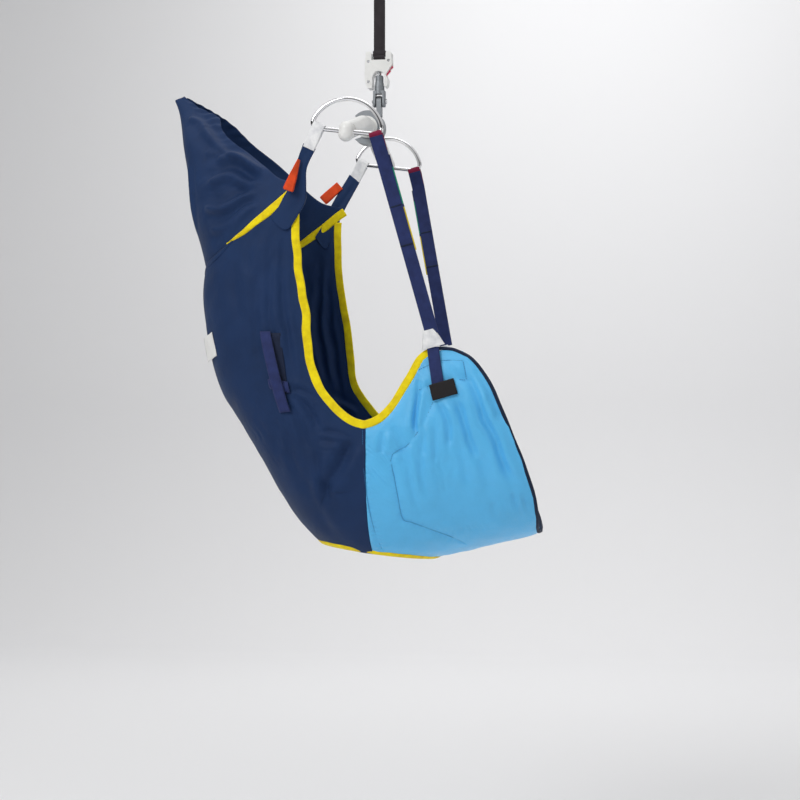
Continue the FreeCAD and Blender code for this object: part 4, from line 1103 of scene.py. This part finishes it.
def make_leg_strap(name, sign):
    """The ring loop, the two plies of the strap with its length tape, and what it is sewn down with."""
    span = RING_SPAN
    loop = rod_loop("%s_leg_hook" % name, (LEG_HOOK[0], sign * span, LEG_HOOK[1]),
                    (LEG_JOIN[0], sign * (span - 4), LEG_JOIN[1]), LEG_WEB, 1.8 * MM)
    finish_piece(loop, "maroon_webbing", "%s_leg_loop" % name)
    shift = 0 if sign < 0 else FAR_SHIFT
    top = np.array((LEG_JOIN[0], sign * (span - 4), LEG_JOIN[1]), float)
    foot = np.array((LEG_FOOT[0] + shift, sign * FOOT_SPAN, LEG_FOOT[1] - 8), float)
    plies = []
    for side in (1, -1):
        start = [(37.5, sign * span + side * 8.2, -429), (41, sign * (span - 2) + side * 6.0, -443)]
        rest = [tuple(top + (foot - top) * place + np.array([0, side * away, 0]))
                for place, away in ((0.02, 3.4), (0.12, 2.2), (0.35, 1.8), (0.7, 1.8), (1.0, 1.8))]
        path = rounded_line(spatial(start + rest), 160)
        path[:, 1] += 0.7 * MM * np.sin(np.linspace(0, 9, 160)) * np.linspace(0, 1, 160)
        plies.append(band("ply", path, strap_side(path), LEG_WEB, 1.6 * MM, crown=0.15 * MM))
    strap = joined("%s_leg_web" % name, *plies)
    finish_piece(strap, "navy_webbing", "%s_leg_strap" % name)

    run = unit(foot - top)
    places = np.linspace(10, 206, 60)[:, None]
    path = (top + run * places) * MM
    path[:, 0] += (2.6 if sign < 0 else -2.6) * MM
    lengths = band("%s_leg_length_tape" % name, path, strap_side(path), LEG_WEB, 1.5 * MM, crown=0.1 * MM)
    finish_piece(lengths, "length_webbing", "%s_leg_lengths" % name)

    bars = []
    for z in STITCHED_BARS:
        share = (z - top[2]) / (foot[2] - top[2])
        middle = top + (foot - top) * share
        path = spatial([tuple(middle - run * 1.6), tuple(middle), tuple(middle + run * 1.6)])
        bars.append(band("bar", path, np.cross(SIDEWAYS, run), 28 * MM, 6.2 * MM, crown=0.2 * MM))
    bars = joined("%s_leg_strap_bars" % name, *bars)
    finish_piece(bars, "navy_webbing", look="navy_binding")

    lower = 0 if sign < 0 else -9
    places = [(134, 175, -811), (138, 174.5, -827), (143, 173.5, -846)]
    points = rounded_line(spatial([(x + shift, sign * y, z + lower) for x, y, z in places]), 24)
    width = np.interp(np.linspace(0, 1, 24), (0, 0.35, 1), (24 * MM, 31 * MM, 49 * MM))
    sleeve = band("%s_leg_cuff" % name, points, strap_side(points), width, 7.6 * MM, crown=0.5 * MM)
    finish_piece(sleeve, "white_webbing", "%s_leg_sleeve" % name)

    tail = sewn("%s_leg_tail_web" % name, TAIL, sign, 5.2 * MM, 1.8 * MM, LEG_START)
    finish_piece(tail, "navy_webbing", "%s_leg_tail" % name)
    patch = sewn("%s_leg_anchor" % name, PATCH, sign, 7.2 * MM, 1.6 * MM, LEG_START, (12, 14))
    finish_piece(patch, "black_patch", "%s_leg_patch" % name)


def make_straps():
    """Each side's loops, straps and handle."""
    for name, sign in SIDES:
        hook = (SHOULDER_HOOK[0], sign * RING_SPAN, SHOULDER_HOOK[1])
        join = (SHOULDER_JOIN[0] - 2, sign * (RING_SPAN - 3), SHOULDER_JOIN[1] - 4)
        loop = rod_loop("%s_shoulder_hook" % name, hook, join, SHOULDER_WEB, 1.9 * MM)
        finish_piece(loop, "white_webbing", "%s_shoulder_loop" % name)
        make_shoulder(name, sign)
        top, low, width, gap, twist, narrow = SPARE_LOOPS[name]
        spare = folded_loop("%s_spare_web" % name, top, low, width * MM, gap * MM, twist, narrow)
        finish_piece(spare, "orange_webbing", "%s_spare_loop" % name)
        make_leg_strap(name, sign)
        # A dark cloth patch right of the handle, a painted shadow standing in for the shade under the handle
        # strap.
        shadow_patch = sewn("%s_handle_painted_shadow" % name, HANDLE_SHADOW, sign, 2.4 * MM, 0.8 * MM, HANDLE_START,
                         (18, 6))
        finish_piece(shadow_patch, "navy_cloth", look="navy_binding")
        grip = sewn("%s_handle_web" % name, HANDLE, sign, 2.6 * MM, 2.2 * MM, HANDLE_START, (34, 8),
                    rise=10 * MM)
        finish_piece(grip, "navy_webbing", "%s_handle" % name)
        fold = sewn("%s_handle_bar" % name, HANDLE_BAR, sign, 3.4 * MM, 1.6 * MM, (0.35, 0.6), (8, 12),
                    rise=3 * MM)
        finish_piece(fold, "navy_webbing")


def patch_grid(along, across, counts):
    """Surface coordinates of a grid over one stretch of the cloth."""
    return np.meshgrid(np.linspace(*along, counts[0]), np.linspace(*across, counts[1]), indexing="ij")


def make_label():
    """A blank label sewn on by its front edge, its rear edge standing off the cloth."""
    v, w = patch_grid((0.157, 0.203), (-0.42, -0.26), (20, 14))
    normal = outward(BODY, v, w)
    free = (w - w.min()) / (w.max() - w.min())
    lift = 2.6 + 8.0 * free ** 1.4 + np.sin(w * 60 + v * 90) * 0.5
    label = shell("care_tag", sling(BODY, v, w) + normal * (lift * MM)[..., None], 0.8 * MM, normal)
    finish_piece(label, "label_cloth", "care_label")


def make_stay_channel():
    """The sleeve down the middle of the hood that holds its stiff stay."""
    half = 0.058
    v, w = patch_grid((0.03, 0.955), (-half, half), (130, 13))
    normal = outward(HOOD, v, w)
    profile = 1.9 + 3.0 * (1 - (w / half) ** 4)
    outer = sling(HOOD, v, w) + normal * (profile * MM)[..., None]
    channel = shell("hood_stay_sleeve", outer, 1.0 * MM, normal)
    rows = [stitches("row", outer[2:-2, column], normal[2:-2, column], radius=0.4 * MM) for column in (1, 11)]
    channel = joined("hood_stay_sleeve", channel, *rows)
    finish_piece(channel, "navy_cloth", "hood_stay_channel")


def make_pad_threads():
    """Stitching along the leg panel's sewn lines."""
    threads = []
    for _, sign in SIDES:
        for line, _ in LEG_SEAMS[:5]:
            flat = rounded_line(line, 26)
            if sign > 0:
                flat = flat + np.array([FAR_SHIFT * 0.6, 0])
            start = (0.8, 0.8)
            places = []
            for x, z in flat:
                start = locate(x, z, sign, (start[0], abs(start[1])))
                places.append(start)
            places = np.array(places)
            normal = outward(BODY, places[:, 0], places[:, 1])
            path = sling(BODY, places[:, 0], places[:, 1]) + normal * 1.5 * MM
            threads.append(stitches("thread", path, normal, pitch=4.2 * MM, length=3.2 * MM, radius=0.6 * MM))
    threads = joined("leg_pad_thread", *threads)
    finish_piece(threads, "blue_cloth", look="seam_thread")


make_bindings()
make_straps()
make_label()
make_stay_channel()
make_pad_threads()


# ---------------------------------------------------------------- stage
def make_stage():
    """A pale sweep of floor and backdrop, and soft lamps round the object."""
    floor_z = -1.95
    back_y = 5.8
    bend = 1.2
    wide = 7.0
    points, faces = [], []
    profile = [(-7.0, floor_z), (back_y - bend, floor_z)]
    for step in range(1, 13):
        angle = math.pi / 2 * step / 12
        profile.append((back_y - bend + bend * math.sin(angle), floor_z + bend - bend * math.cos(angle)))
    profile.append((back_y, 4.0))
    for y, z in profile:
        points += [(-wide, y, z), (wide, y, z)]
    for index in range(len(profile) - 1):
        a = index * 2
        faces.append((a, a + 1, a + 3, a + 2))
    sweep = new_object("studio_sweep", points, faces)
    material, add, join = node_material("studio_white", 0.9)
    tone = add("ShaderNodeTexNoise", {"Scale": 0.7, "Detail": 2.0})
    greys = [(0.3, (0.80, 0.80, 0.81)), (0.7, (0.83, 0.83, 0.84))]
    join(colour_ramp(add, tone.outputs["Fac"], greys), "Base Color")
    sweep.data.materials.append(material)

    world = bpy.data.worlds.new("studio")
    bpy.context.scene.world = world
    world.use_nodes = True
    tree = world.node_tree
    split = tree.nodes.new("ShaderNodeSeparateXYZ")
    tree.links.new(tree.nodes.new("ShaderNodeTexCoord").outputs["Generated"], split.inputs["Vector"])
    height = tree.nodes.new("ShaderNodeMapRange")
    height.inputs["From Min"].default_value = -1
    tree.links.new(split.outputs["Z"], height.inputs["Value"])
    ramp = tree.nodes.new("ShaderNodeValToRGB")
    stops = ((0.0, 0.42), (0.45, 0.45), (0.52, 0.03), (0.64, 0.06), (0.74, 0.62), (1.0, 0.75))
    for index, (place, value) in enumerate(stops):
        spot = ramp.color_ramp.elements[index] if index < 2 else ramp.color_ramp.elements.new(place)
        spot.position = place
        spot.color = (value, value, value, 1)
    tree.links.new(height.outputs["Result"], ramp.inputs["Fac"])
    tree.links.new(ramp.outputs["Color"], tree.nodes["Background"].inputs["Color"])
    bpy.context.scene.view_settings.view_transform = "Standard"

    target = Vector((0.0, 0.0, -0.9))
    lamps = (("key", (-1.9, -3.2, 1.3), 1.8, 74.0), ("fill", (3.6, -2.2, -0.4), 2.6, 16.0),
             ("top", (0.2, 0.4, 2.4), 2.2, 30.0), ("backdrop", (0.0, 3.6, 1.8), 3.0, 50.0))
    for name, place, size, power in lamps:
        data = bpy.data.lights.new(name, "AREA")
        data.size = size
        data.energy = power
        lamp = bpy.data.objects.new(name, data)
        lamp.location = place
        aim = (Vector((0, back_y, -0.6)) if name == "backdrop" else target) - Vector(place)
        lamp.rotation_euler = aim.to_track_quat("-Z", "Y").to_euler()
        bpy.context.scene.collection.objects.link(lamp)


make_stage()
